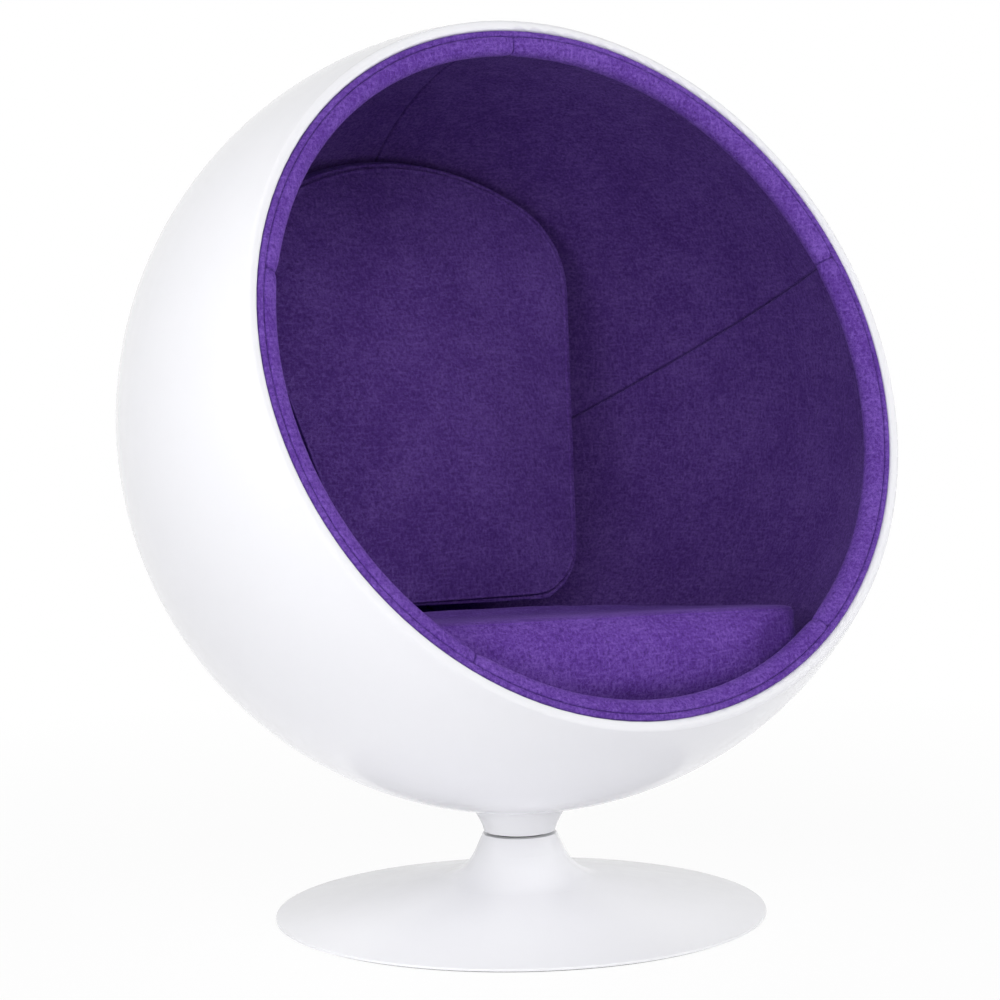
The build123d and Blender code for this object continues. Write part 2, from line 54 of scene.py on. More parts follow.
Colour = tuple[float, float, float, float]
Triple = tuple[float, float, float]
Point = tuple[float, float]
Span = tuple[float, float]
Socket = bpy.types.NodeSocket
Sockets = bpy.types.bpy_prop_collection
Value = float | tuple | Socket


class Body(Enum):
    """Bodies of the chair that the sewn pieces ride on."""

    BALL = "ball"


class Slot(Enum):
    """Material slots of the record; no piece here is given one."""

    WOOL = "wool"


class Kind(Enum):
    """Kinds of socket on the shared effects."""

    VALUE = "NodeSocketFloat"
    VECTOR = "NodeSocketVector"
    COLOUR = "NodeSocketColor"


# Node graphs and shared effects

class Graph:
    """Adds and links the nodes of one node tree."""

    def __init__(self, tree: bpy.types.NodeTree) -> None:
        """Keeps the tree that nodes go into."""
        self.tree = tree

    def add(self, kind: str, inputs: dict | None = None, **settings: object) -> bpy.types.Node:
        """Adds a node.

        Args:
            kind: Blender's name of the node type.
            inputs: values or sockets for its inputs, by name or index.
            settings: properties of the node.

        Returns:
            The new node.
        """
        node = self.tree.nodes.new(kind)
        for name, setting in settings.items():
            setattr(node, name, setting)
        for key, value in (inputs or {}).items():
            self.feed(node.inputs[key], value)
        return node

    def feed(self, socket: Socket, value: Value) -> None:
        """Links a socket to an input, or sets the input's value.

        Args:
            socket: the input.
            value: a socket, or a plain value.
        """
        if isinstance(value, Socket):
            self.tree.links.new(value, socket)
        else:
            socket.default_value = value

    def math(self, operation: str, first: Value, second: Value = 0.0) -> Socket:
        """Result of a Math node on two values."""
        return self.add("ShaderNodeMath", {0: first, 1: second}, operation=operation).outputs[0]

    def plus(self, first: Value, second: Value) -> Socket:
        """Sum of two values."""
        return self.math("ADD", first, second)

    def times(self, first: Value, second: Value) -> Socket:
        """Product of two values."""
        return self.math("MULTIPLY", first, second)

    def larger(self, first: Value, second: Value) -> Socket:
        """The larger of two values."""
        return self.math("MAXIMUM", first, second)

    def vector(self, operation: str, first: Value, second: Value) -> Socket:
        """Vector result of a Vector Math node on two vectors."""
        inputs = {0: first, 1: second}
        return self.add("ShaderNodeVectorMath", inputs, operation=operation).outputs[0]

    def mix(self, factor: Value, first: Value, second: Value) -> Socket:
        """Colour between two colours."""
        inputs = {0: factor, 6: first, 7: second}
        return self.add("ShaderNodeMix", inputs, data_type="RGBA").outputs[2]

    def remap(self, value: Value, source: Span, target: Span) -> Socket:
        """Value carried from one range over to another and held at the ends.

        Args:
            value: the value.
            source: the range that it comes in.
            target: the range that it goes to.

        Returns:
            The value in its new range.
        """
        inputs = {
            "Value": value, "From Min": source[0], "From Max": source[1],
            "To Min": target[0], "To Max": target[1]}
        return self.add("ShaderNodeMapRange", inputs).outputs["Result"]

    def noise(
        self, vector: Value, scale: Value, detail: float = 2.0, rough: float = 0.5,
        output: str = "Fac"
    ) -> Socket:
        """Noise texture.

        Args:
            vector: where it is read.
            scale: its scale.
            detail: its number of finer layers.
            rough: weight of the finer layers.
            output: name of the output.

        Returns:
            That output.
        """
        inputs = {"Vector": vector, "Scale": scale, "Detail": detail, "Roughness": rough}
        return self.add("ShaderNodeTexNoise", inputs).outputs[output]


class Effect:
    """A shader node group that several materials place."""

    @staticmethod
    def group(
        name: str, inputs: dict[str, Kind], outputs: dict[str, Kind]
    ) -> tuple[Graph, dict[str, Socket], dict[str, Socket]]:
        """Starts a node group.

        Args:
            name: name of the group.
            inputs: kind of each input socket by name.
            outputs: kind of each output socket by name.

        Returns:
            The group's graph, its input sockets and its output sockets, by name.
        """
        tree = bpy.data.node_groups.new(name, "ShaderNodeTree")
        for side, sockets in (("INPUT", inputs), ("OUTPUT", outputs)):
            for socket, kind in sockets.items():
                tree.interface.new_socket(name=socket, in_out=side, socket_type=kind.value)
        graph = Graph(tree)
        start = graph.add("NodeGroupInput")
        end = graph.add("NodeGroupOutput")
        sources = {socket: start.outputs[socket] for socket in inputs}
        sinks = {socket: end.inputs[socket] for socket in outputs}
        return graph, sources, sinks


@dataclass(frozen=True)
class FeltedFibres(Effect):
    """Matted wool: a web of light fibres and dark flecks over a mottled ground, with painted light
    on the raised nap and painted shade in its low spots.

    The scales here are shares of the group's own scale.
    """

    sway_scale: float = 0.4
    sway_reach: float = 0.006
    coarse_web: float = 0.8
    fine_web: float = 1.7
    fine_web_share: float = 0.8
    web_width: float = 0.16
    web_light: float = 0.52
    web_height: float = 0.45
    nap_detail: float = 3.0
    nap_rough: float = 0.6
    nap_band: Span = (0.35, 0.65)
    nap_height: float = 0.55
    thread_scale: float = 1.2
    thread_stretch: float = 0.2
    thread_band: Span = (0.48, 0.72)
    thread_light: float = 0.36
    cloud_scale: float = 0.06
    cloud_detail: float = 3.0
    cloud_band: Span = (0.35, 0.7)
    cloud_light: Span = (-0.12, 0.1)
    hollow_shade_band: Span = (0.46, 0.3)
    hollow_shade_dark: float = 0.36
    speck_scale: float = 1.4
    speck_detail: float = 1.0
    speck_band: Span = (0.62, 0.72)
    speck_dark: float = 0.45

    def build(self) -> bpy.types.NodeTree:
        """Makes the group.

        Returns:
            The node tree, with the outputs Color and Height.
        """
        graph, given, out = self.group(
            "Felted fibres",
            {"Vector": Kind.VECTOR, "Scale": Kind.VALUE, "Ground": Kind.COLOUR,
             "Fibre": Kind.COLOUR, "Fleck": Kind.COLOUR},
            {"Color": Kind.COLOUR, "Height": Kind.VALUE})
        place = given["Vector"]
        scale = given["Scale"]
        bent = self._bent(graph, place, scale)
        web = self._web(graph, bent, scale)
        nap = graph.noise(place, scale, self.nap_detail, self.nap_rough)
        threads = self._threads(graph, place, scale)
        cloud = graph.noise(place, graph.times(scale, self.cloud_scale), self.cloud_detail)
        speck = graph.noise(bent, graph.times(scale, self.speck_scale), self.speck_detail)
        # Light fibres show only where the nap stands high, which the height also raises: painted
        # light on the raised nap.
        light = graph.times(web, graph.remap(nap, self.nap_band, (0.0, self.web_light)))
        light = graph.plus(light, graph.remap(threads, self.thread_band, (0.0, self.thread_light)))
        light = graph.plus(light, graph.remap(cloud, self.cloud_band, self.cloud_light))
        colour = graph.mix(light, given["Ground"], given["Fibre"])
        # Towards the Fleck colour where the nap is low, which the height also sinks: painted shade
        # in the nap's low spots.
        hollow_shade = graph.remap(nap, self.hollow_shade_band, (0.0, self.hollow_shade_dark))
        specks = graph.remap(speck, self.speck_band, (0.0, self.speck_dark))
        dark = graph.larger(hollow_shade, specks)
        graph.feed(out["Color"], graph.mix(dark, colour, given["Fleck"]))
        height = graph.plus(graph.times(web, self.web_height), graph.times(nap, self.nap_height))
        graph.feed(out["Height"], height)
        return graph.tree

    def _bent(self, graph: Graph, place: Socket, scale: Socket) -> Socket:
        """Place swayed by a slow noise, so that fibres bend.

        Args:
            graph: the group's graph.
            place: place on the piece.
            scale: scale of the fibres.

        Returns:
            The swayed place.
        """
        sway = graph.noise(place, graph.times(scale, self.sway_scale), output="Color")
        centred = graph.vector("SUBTRACT", sway, (0.5,) * 3)
        shift = graph.vector("MULTIPLY", centred, (self.sway_reach,) * 3)
        return graph.vector("ADD", place, shift)

    def _web(self, graph: Graph, place: Socket, scale: Socket) -> Socket:
        """Edges of a coarse layer of cells and of a weaker fine one.

        Args:
            graph: the group's graph.
            place: the swayed place.
            scale: scale of the fibres.

        Returns:
            1 on a fibre and 0 between fibres.
        """
        layers = []
        for share in (self.coarse_web, self.fine_web):
            inputs = {"Vector": place, "Scale": graph.times(scale, share)}
            cells = graph.add("ShaderNodeTexVoronoi", inputs, feature="DISTANCE_TO_EDGE")
            edge = cells.outputs["Distance"]
            layers.append(graph.remap(edge, (0.0, self.web_width), (1.0, 0.0)))
        return graph.larger(layers[0], graph.times(layers[1], self.fine_web_share))

    def _threads(self, graph: Graph, place: Socket, scale: Socket) -> Socket:
        """Long fibres, level ones and upright ones.

        Args:
            graph: the group's graph.
            place: place on the piece.
            scale: scale of the fibres.

        Returns:
            The stronger of the two noises.
        """
        drawn = self.thread_stretch
        layers = []
        for stretch in ((drawn, drawn, 1.0), (1.0, 1.0, drawn)):
            stretched = graph.vector("MULTIPLY", place, stretch)
            layers.append(graph.noise(stretched, graph.times(scale, self.thread_scale)))
        return graph.larger(*layers)


@dataclass(frozen=True)
class LacquerFilm(Effect):
    """Sprayed gloss coat: cloudy gloss and fine wiping marks."""

    cloud_scale: float = 0.03
    cloud_detail: float = 3.0
    cloud_band: Span = (0.35, 0.65)
    wipe_scale: float = 0.4
    wipe_stretch: Triple = (1.0, 1.0, 9.0)
    wipe_band: Span = (0.6, 0.75)
    wipe_haze: float = 0.35

    def build(self) -> bpy.types.NodeTree:
        """Makes the group.

        Returns:
            The node tree, with the output Roughness.
        """
        graph, given, out = self.group(
            "Lacquer film",
            {"Vector": Kind.VECTOR, "Scale": Kind.VALUE, "Gloss": Kind.VALUE, "Haze": Kind.VALUE},
            {"Roughness": Kind.VALUE})
        place = given["Vector"]
        scale = given["Scale"]
        cloud = graph.noise(place, graph.times(scale, self.cloud_scale), self.cloud_detail)
        inputs = {"Vector": place, "Scale": self.wipe_stretch}
        stretched = graph.add("ShaderNodeMapping", inputs).outputs["Vector"]
        wiped = graph.noise(stretched, graph.times(scale, self.wipe_scale))
        marks = graph.remap(wiped, self.wipe_band, (0.0, self.wipe_haze))
        haze = graph.plus(graph.remap(cloud, self.cloud_band, (0.0, 1.0)), marks)
        rough = graph.plus(given["Gloss"], graph.times(haze, given["Haze"]))
        graph.feed(out["Roughness"], rough)
        return graph.tree


@dataclass(frozen=True)
class TurnedLines(Effect):
    """Lines that a lathe leaves round the upright axis, with faint stains."""

    line_detail: float = 3.0
    line_rough: float = 0.7
    line_gloss: Span = (-0.06, 0.1)
    stain_scale: float = 0.05
    stain_detail: float = 3.0
    stain_tone: Span = (0.86, 1.06)
    band: Span = (0.3, 0.7)

    def build(self) -> bpy.types.NodeTree:
        """Makes the group.

        Returns:
            The node tree, with the outputs Color, Height and Roughness.
        """
        graph, given, out = self.group(
            "Turned lines",
            {"Vector": Kind.VECTOR, "Scale": Kind.VALUE, "Color": Kind.COLOUR,
             "Roughness": Kind.VALUE},
            {"Color": Kind.COLOUR, "Height": Kind.VALUE, "Roughness": Kind.VALUE})
        place = given["Vector"]
        scale = given["Scale"]
        parts = graph.add("ShaderNodeSeparateXYZ", {0: place}).outputs
        squares = [graph.math("POWER", parts[axis], 2.0) for axis in range(2)]
        radius = graph.math("SQRT", graph.plus(*squares))
        inputs = {0: radius, 1: parts[2], 2: 0.0}
        turned = graph.add("ShaderNodeCombineXYZ", inputs).outputs[0]
        lines = graph.noise(turned, scale, self.line_detail, self.line_rough)
        stains = graph.noise(place, graph.times(scale, self.stain_scale), self.stain_detail)
        tone = {"Value": graph.remap(stains, self.band, self.stain_tone), "Color": given["Color"]}
        stained = graph.add("ShaderNodeHueSaturation", tone).outputs["Color"]
        graph.feed(out["Color"], stained)
        graph.feed(out["Height"], lines)
        gloss = graph.remap(lines, self.band, self.line_gloss)
        graph.feed(out["Roughness"], graph.plus(given["Roughness"], gloss))
        return graph.tree


class Effects:
    """The shared effects, each built once."""

    def __init__(self) -> None:
        """Builds the groups."""
        self.felted = FeltedFibres().build()
        self.lacquer = LacquerFilm().build()
        self.turned = TurnedLines().build()


# Finishes

class Finish:
    """A surface finish that makes its material once and hands it out."""

    name: str

    def material(self, effects: Effects) -> bpy.types.Material:
        """Material of this finish.

        Args:
            effects: the shared node groups.

        Returns:
            The material, built on first use.
        """
        found = bpy.data.materials.get(self.name)
        if found:
            return found
        made = bpy.data.materials.new(self.name)
        made.use_nodes = True
        made.node_tree.nodes.clear()
        graph = Graph(made.node_tree)
        place = graph.add("ShaderNodeTexCoord").outputs["Object"]
        surface = graph.add("ShaderNodeBsdfPrincipled")
        output = graph.add("ShaderNodeOutputMaterial")
        graph.feed(output.inputs["Surface"], surface.outputs["BSDF"])
        self.shade(graph, place, surface.inputs, effects)
        return made

    def shade(self, graph: Graph, place: Socket, shader: Sockets, effects: Effects) -> None:
        """Feeds the shader's inputs; each finish has its own."""
        raise NotImplementedError

    @staticmethod
    def effect(graph: Graph, tree: bpy.types.NodeTree, inputs: dict[str, Value]) -> Sockets:
        """Places a shared effect.

        Args:
            graph: the material's graph.
            tree: the effect's group.
            inputs: values or sockets for the group's inputs, by name.

        Returns:
            The outputs of the group node.
        """
        node = graph.add("ShaderNodeGroup", node_tree=tree)
        for name, value in inputs.items():
            graph.feed(node.inputs[name], value)
        return node.outputs

    @staticmethod
    def bump(graph: Graph, shader: Sockets, height: Value, strength: float, depth: float) -> None:
        """Feeds a height through a Bump node to the shader's normal.

        Args:
            graph: the material's graph.
            shader: the shader's inputs.
            height: the height.
            strength: strength of the bump.
            depth: depth of the bump in metres.
        """
        inputs = {"Strength": strength, "Distance": depth, "Height": height}
        node = graph.add("ShaderNodeBump", inputs)
        graph.feed(shader["Normal"], node.outputs["Normal"])


@dataclass(frozen=True)
class WoolFinish(Finish):
    """Felted melange wool with a soft nap."""

    name: str
    ground: Colour
    fibre: Colour
    fleck: Colour
    scale: float = 235.0
    roughness: float = 0.95
    specular: float = 0.12
    sheen: float = 0.14
    sheen_roughness: float = 0.45
    sheen_tint: Colour = (0.56, 0.38, 1.0, 1.0)
    bump_strength: float = 0.42
    bump_depth: float = 0.0016

    def painted_light_copy(self, name: str, tone: Colour) -> "WoolFinish":
        """The same cloth with its colours toned lighter, a copy that paints light onto the pieces
        that wear it.

        Args:
            name: name of its material.
            tone: factor on each channel.

        Returns:
            The finish, its three colours toned.
        """
        ground, fibre, fleck = (
            tuple(value * share for value, share in zip(colour, tone))
            for colour in (self.ground, self.fibre, self.fleck))
        return replace(self, name=name, ground=ground, fibre=fibre, fleck=fleck)

    def shade(self, graph: Graph, place: Socket, shader: Sockets, effects: Effects) -> None:
        """Matted fibres in colour and bump, with a sheen.

        Args:
            graph: the material's graph.
            place: place on the piece.
            shader: the shader's inputs.
            effects: the shared node groups.
        """
        fibres = self.effect(graph, effects.felted, {
            "Vector": place, "Scale": self.scale, "Ground": self.ground, "Fibre": self.fibre,
            "Fleck": self.fleck})
        graph.feed(shader["Base Color"], fibres["Color"])
        shader["Roughness"].default_value = self.roughness
        shader["Specular IOR Level"].default_value = self.specular
        shader["Sheen Weight"].default_value = self.sheen
        shader["Sheen Roughness"].default_value = self.sheen_roughness
        shader["Sheen Tint"].default_value = self.sheen_tint
        self.bump(graph, shader, fibres["Height"], self.bump_strength, self.bump_depth)


@dataclass(frozen=True)
class LacquerFinish(Finish):
    """Gloss white coat on moulded shell or spun metal."""

    name: str
    colour: Colour
    dull: Colour
    gloss: float = 0.1
    haze: float = 0.06
    marks: float = 240.0
    index: float = 1.5
    coat: float = 0.1
    coat_roughness: float = 0.04
    tone_scale: float = 3.0
    tone_band: Span = (0.3, 0.7)
    tone_share: Span = (0.0, 0.25)

    def shade(self, graph: Graph, place: Socket, shader: Sockets, effects: Effects) -> None:
        """Gloss film over a white that varies slightly.

        Args:
            graph: the material's graph.
            place: place on the piece.
            shader: the shader's inputs.
            effects: the shared node groups.
        """
        film = self.effect(graph, effects.lacquer, {
            "Vector": place, "Scale": self.marks, "Gloss": self.gloss, "Haze": self.haze})
        tone = graph.noise(place, self.tone_scale)
        share = graph.remap(tone, self.tone_band, self.tone_share)
        graph.feed(shader["Base Color"], graph.mix(share, self.colour, self.dull))
        graph.feed(shader["Roughness"], film["Roughness"])
        shader["IOR"].default_value = self.index
        shader["Coat Weight"].default_value = self.coat
        shader["Coat Roughness"].default_value = self.coat_roughness


@dataclass(frozen=True)
class TurnedFinish(Finish):
    """Surface with the fine lines of a lathe."""

    name: str
    colour: Colour
    roughness: float
    lines: float = 900.0
    bump_strength: float = 0.12
    bump_depth: float = 0.0002

    def shade(self, graph: Graph, place: Socket, shader: Sockets, effects: Effects) -> None:
        """Lathe lines in colour, gloss and bump.

        Args:
            graph: the material's graph.
            place: place on the piece.
            shader: the shader's inputs.
            effects: the shared node groups.
        """
        turned = self.effect(graph, effects.turned, {
            "Vector": place, "Scale": self.lines, "Color": self.colour,
            "Roughness": self.roughness})
        graph.feed(shader["Base Color"], turned["Color"])
        graph.feed(shader["Roughness"], turned["Roughness"])
        self.bump(graph, shader, turned["Height"], self.bump_strength, self.bump_depth)


@dataclass(frozen=True)
class MetalFinish(TurnedFinish):
    """Turned or plated metal."""

    def shade(self, graph: Graph, place: Socket, shader: Sockets, effects: Effects) -> None:
        """Lathe lines on metal."""
        super().shade(graph, place, shader, effects)
        shader["Metallic"].default_value = 1.0


@dataclass(frozen=True)
class NylonFinish(TurnedFinish):
    """Machined plain bearing plastic with a waxy surface."""

    roughness: float = 0.42
    lines: float = 700.0
    bump_strength: float = 0.08
    subsurface: float = 0.1

    def shade(self, graph: Graph, place: Socket, shader: Sockets, effects: Effects) -> None:
        """Lathe lines on plastic that light enters slightly."""
        super().shade(graph, place, shader, effects)
        shader["Subsurface Weight"].default_value = self.subsurface


@dataclass(frozen=True)
class PlywoodFinish(Finish):
    """Birch plywood: veneer figure on the faces and dark glue lines in the edge."""

    name: str
    colour: Colour
    grain: Colour
    glue: Colour
    ply: float = 0.0014
    glue_band: Span = (0.38, 0.5)
    glue_share: Span = (0.0, 0.7)
    stretch: Triple = (6.0, 140.0, 140.0)
    figure_scale: float = 1.0
    figure_detail: float = 5.0
    figure_rough: float = 0.6
    figure_band: Span = (0.35, 0.7)
    gloss_band: Span = (0.3, 0.7)
    roughness: Span = (0.5, 0.7)
    bump_strength: float = 0.2
    bump_depth: float = 0.0004

    def shade(self, graph: Graph, place: Socket, shader: Sockets, effects: Effects) -> None:
        """Long grain along X, with a line for each glue layer by height.

        Args:
            graph: the material's graph.
            place: place on the piece.
            shader: the shader's inputs.
            effects: the shared node groups; the wood needs none.
        """
        inputs = {"Vector": place, "Scale": self.stretch}
        long = graph.add("ShaderNodeMapping", inputs).outputs["Vector"]
        figure = graph.noise(long, self.figure_scale, self.figure_detail, self.figure_rough)
        height = graph.add("ShaderNodeSeparateXYZ", {0: place}).outputs[2]
        layer = graph.math("FRACT", graph.math("DIVIDE", height, self.ply))
        middle = graph.math("ABSOLUTE", graph.math("SUBTRACT", layer, 0.5))
        line = graph.remap(middle, self.glue_band, self.glue_share)
        veins = graph.remap(figure, self.figure_band, (0.0, 1.0))
        wood = graph.mix(veins, self.colour, self.grain)
        graph.feed(shader["Base Color"], graph.mix(line, wood, self.glue))
        rough = graph.remap(figure, self.gloss_band, self.roughness)
        graph.feed(shader["Roughness"], rough)
        self.bump(graph, shader, figure, self.bump_strength, self.bump_depth)


# One violet wool in shaded and lit copies: the lining and the back cushion wear this darker copy,
# painted shade for the inside of the ball.
WOOL = WoolFinish(
    "violet wool", ground=(0.077, 0.03, 0.201, 1.0), fibre=(0.19, 0.104, 0.405, 1.0),
    fleck=(0.022, 0.009, 0.068, 1.0))
# Lighter copies of the same wool for the rim and the seat: painted light where the light falls on
# them.
RIM_WOOL_PAINTED_LIGHT = WOOL.painted_light_copy("violet rim wool painted light", (1.38, 1.32, 1.46, 1.0))
SEAT_WOOL_PAINTED_LIGHT = WOOL.painted_light_copy("violet seat wool painted light", (1.3, 1.2, 1.38, 1.0))
THREAD = WoolFinish(
    "violet thread", ground=(0.06, 0.024, 0.17, 1.0), fibre=(0.16, 0.08, 0.36, 1.0),
    fleck=(0.02, 0.01, 0.06, 1.0), scale=1800.0)
FELT = WoolFinish(
    "grey felt", ground=(0.12, 0.12, 0.125, 1.0), fibre=(0.34, 0.34, 0.35, 1.0),
    fleck=(0.03, 0.03, 0.03, 1.0), scale=500.0, sheen_tint=(1.0, 1.0, 1.0, 1.0))
SHELL_WHITE = LacquerFinish(
    "shell gloss white", colour=(0.85, 0.85, 0.885, 1.0), dull=(0.81, 0.81, 0.835, 1.0),
    gloss=0.14)
FOOT_WHITE = LacquerFinish(
    "foot enamel white", colour=(0.885, 0.885, 0.91, 1.0), dull=(0.8, 0.795, 0.8, 1.0),
    gloss=0.18, marks=420.0, coat=0.0)
STEEL = MetalFinish("turned steel", (0.42, 0.42, 0.43, 1.0), 0.36)
ZINC = MetalFinish("zinc plate", (0.6, 0.61, 0.63, 1.0), 0.32, lines=500.0)
BEARING_STEEL = MetalFinish(
    "polished bearing steel", (0.68, 0.69, 0.7, 1.0), 0.12, bump_strength=0.03)
NYLON = NylonFinish("nylon", (0.74, 0.72, 0.66, 1.0))
PLYWOOD = PlywoodFinish(
    "birch plywood", colour=(0.62, 0.44, 0.26, 1.0), grain=(0.45, 0.29, 0.15, 1.0),
    glue=(0.16, 0.08, 0.04, 1.0))


# Mesh helpers

def new_piece(name: str, mesh: bmesh.types.BMesh) -> bpy.types.Object:
    """Turns a bmesh into a smooth-shaded object at the origin.

    Args:
        name: name of the piece.
        mesh: its mesh, in place; freed here.

    Returns:
        The linked object.
    """
    data = bpy.data.meshes.new(name)
    mesh.to_mesh(data)
    mesh.free()
    data.shade_smooth()
    piece = bpy.data.objects.new(name, data)
    bpy.context.scene.collection.objects.link(piece)
    return piece


def finish_piece(
    piece: bpy.types.Object, finish: Finish, effects: Effects, body: Body,
    nodes: Iterable[str] = ()
) -> bpy.types.Object:
    """Dresses a new piece, seats it on its body and hides the solids that it replaces.

    Args:
        piece: the new object.
        finish: its finish.
        effects: the shared node groups.
        body: the body that it rides on.
        nodes: the solids that it replaces.

    Returns:
        The same piece.
    """
    piece.data.materials.clear()
    piece.data.materials.append(finish.material(effects))
    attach(piece, body.value)
    if nodes:
        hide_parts(*nodes)
    LOG.info("%s: %d faces on %s", piece.name, len(piece.data.polygons), body.value)
    return piece


def dress_node(node: str, finish: Finish, effects: Effects) -> None:
    """Gives a kept solid its finish.

    Args:
        node: name of the solid's node.
        finish: its finish.
        effects: the shared node groups.
    """
    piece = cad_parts[node]
    piece.data.materials.clear()
    piece.data.materials.append(finish.material(effects))
    LOG.info("%s: kept solid in %s", node, finish.name)


def rounded_wire(
    mesh: bmesh.types.BMesh, points: list[Point], rounds: list[float], steps: int
) -> None:
    """Draws a section as wire, with its corners rounded.

    Args:
        mesh: an empty bmesh.
        points: corners as radius and height about the upright axis.
        rounds: for each corner, how far from it the rounding starts; 0 keeps it sharp.
        steps: segments of each rounding.
    """
    corners = [mesh.verts.new((radius, 0.0, height)) for radius, height in points]
    for first, second in zip(corners, corners[1:]):
        mesh.edges.new((first, second))
    for corner, size in zip(corners, rounds):
        if size:
            bmesh.ops.bevel(
                mesh, geom=[corner], offset=size, offset_type="OFFSET", segments=steps,
                profile=0.5, affect="VERTICES", material=-1)


def spin_on(
    mesh: bmesh.types.BMesh, geometry: list, angle: float, steps: int, axis: Vector = UP,
    merge: bool = False
) -> list:
    """Spins geometry about an axis through the origin.

    Args:
        mesh: the bmesh that it is in.
        geometry: the points and edges.
        angle: angle of the spin.
        steps: segments of the spin.
        axis: direction of the axis.
        merge: whether a full turn closes on its start.

    Returns:
        The points and edges at the far end.
    """
    made = bmesh.ops.spin(
        mesh, geom=geometry, axis=axis, cent=ORIGIN, angle=angle, steps=steps, use_merge=merge)
    return made["geom_last"]


def turn_to(right: Vector, up: Vector, out: Vector) -> Matrix:
    """Turn that carries X, Y and Z to three directions."""
    return Matrix((right, up, out)).transposed().to_4x4()


def leaning(angle: float) -> tuple[Vector, Vector]:
    """Directions up along a face that leans back by an angle, and out of it to the front."""
    sine, cosine = math.sin(angle), math.cos(angle)
    return Vector((0.0, sine, cosine)), Vector((0.0, -cosine, sine))


def bell(distance: float, width: float) -> float:
    """Share of a shape that falls off smoothly from 1 with distance."""
    return math.exp(-(distance / width) ** 2)


def smooth_step(value: float, low: float, high: float) -> float:
    """Share that runs smoothly from 0 at low to 1 at high."""
    share = min(max((value - low) / (high - low), 0.0), 1.0)
    return share * share * (3.0 - 2.0 * share)


def row_of_stitches(
    name: str, places: list[tuple[Vector, Vector, Vector]], length: float, thickness: float
) -> bpy.types.Object:
    """Small thread stitches, each lying along its own direction.

    Args:
        name: name of the piece.
        places: for each stitch its middle, its direction and the surface's normal.
        length: length of a stitch.
        thickness: thickness of the thread.

    Returns:
        One object with all the stitches.
    """
    mesh = bmesh.new()
    for middle, along, normal in places:
        side = normal.cross(along).normalized()
        up = along.cross(side).normalized()
        turn = turn_to(along * length / 2, side * thickness / 2, up * thickness / 2)
        bmesh.ops.create_icosphere(
            mesh, subdivisions=1, radius=1.0, matrix=Matrix.Translation(middle) @ turn)
    return new_piece(name, mesh)


# The ball and what lines it

@dataclass(frozen=True)
class Ball:
    """Sizes of the ball that its lining, roll and cushions share, in metres.

    The opening's own frame has its Z along the opening's axis, out of the ball.
    """

    height: float = 0.669
    tilt: float = math.radians(21.8)
    opening: float = 0.2095
    lip_radius: float = 0.4688
    lining_radius: float = 0.4991
    cushion_radius: float = 0.4983
    roll_back: float = 0.1495
    nose: Point = (0.4341, 0.1925)
    seams: int = 5
    top_seam: float = math.radians(90.0)

    @property
    def centre(self) -> Vector:
        """Middle of the ball."""
        return Vector((0.0, 0.0, self.height))

    @property
    def axis(self) -> Vector:
        """Direction that the opening faces."""
        return leaning(self.tilt)[1]

    @property
    def heel(self) -> Point:
        """Where the roll meets the lining, as radius and height along the opening's axis."""
        return (math.sqrt(self.lining_radius**2 - self.roll_back**2), self.roll_back)

    @property
    def heel_angle(self) -> float:
        """Angle of the heel over the plane through the ball's middle."""
        return math.asin(self.roll_back / self.lining_radius)

    @property
    def to_world(self) -> Matrix:
        """Carries the opening's own frame to the chair's."""
        return Matrix.Translation(self.centre) @ turn_to(RIGHT, *leaning(self.tilt))

    @property
    def panel_angle(self) -> float:
        """Angle of one panel of the lining."""
        return FULL_TURN / self.seams

    def seam_angle(self, number: int) -> float:
        """Angle of a seam about the opening's axis."""
        return self.top_seam + number * self.panel_angle

    def seam_distance(self, point: Vector, begin: float) -> float:
        """Distance of a panel's point from the nearer of the panel's two seams.

        Args:
            point: the point, in the opening's own frame.
            begin: angle of the seam at which the panel begins.

        Returns:
            The distance round the opening's axis.
        """
        angle = (math.atan2(point.y, point.x) - begin) % FULL_TURN
        angle = angle if angle < math.pi * 1.5 else 0.0
        return math.hypot(point.x, point.y) * min(angle, abs(self.panel_angle - angle))


@dataclass
class Shell:
    """The gloss ball itself, kept from the solids."""

    node: str = "shell"

    def build(self, effects: Effects) -> None:
        """Dresses the shell."""
        dress_node(self.node, SHELL_WHITE, effects)


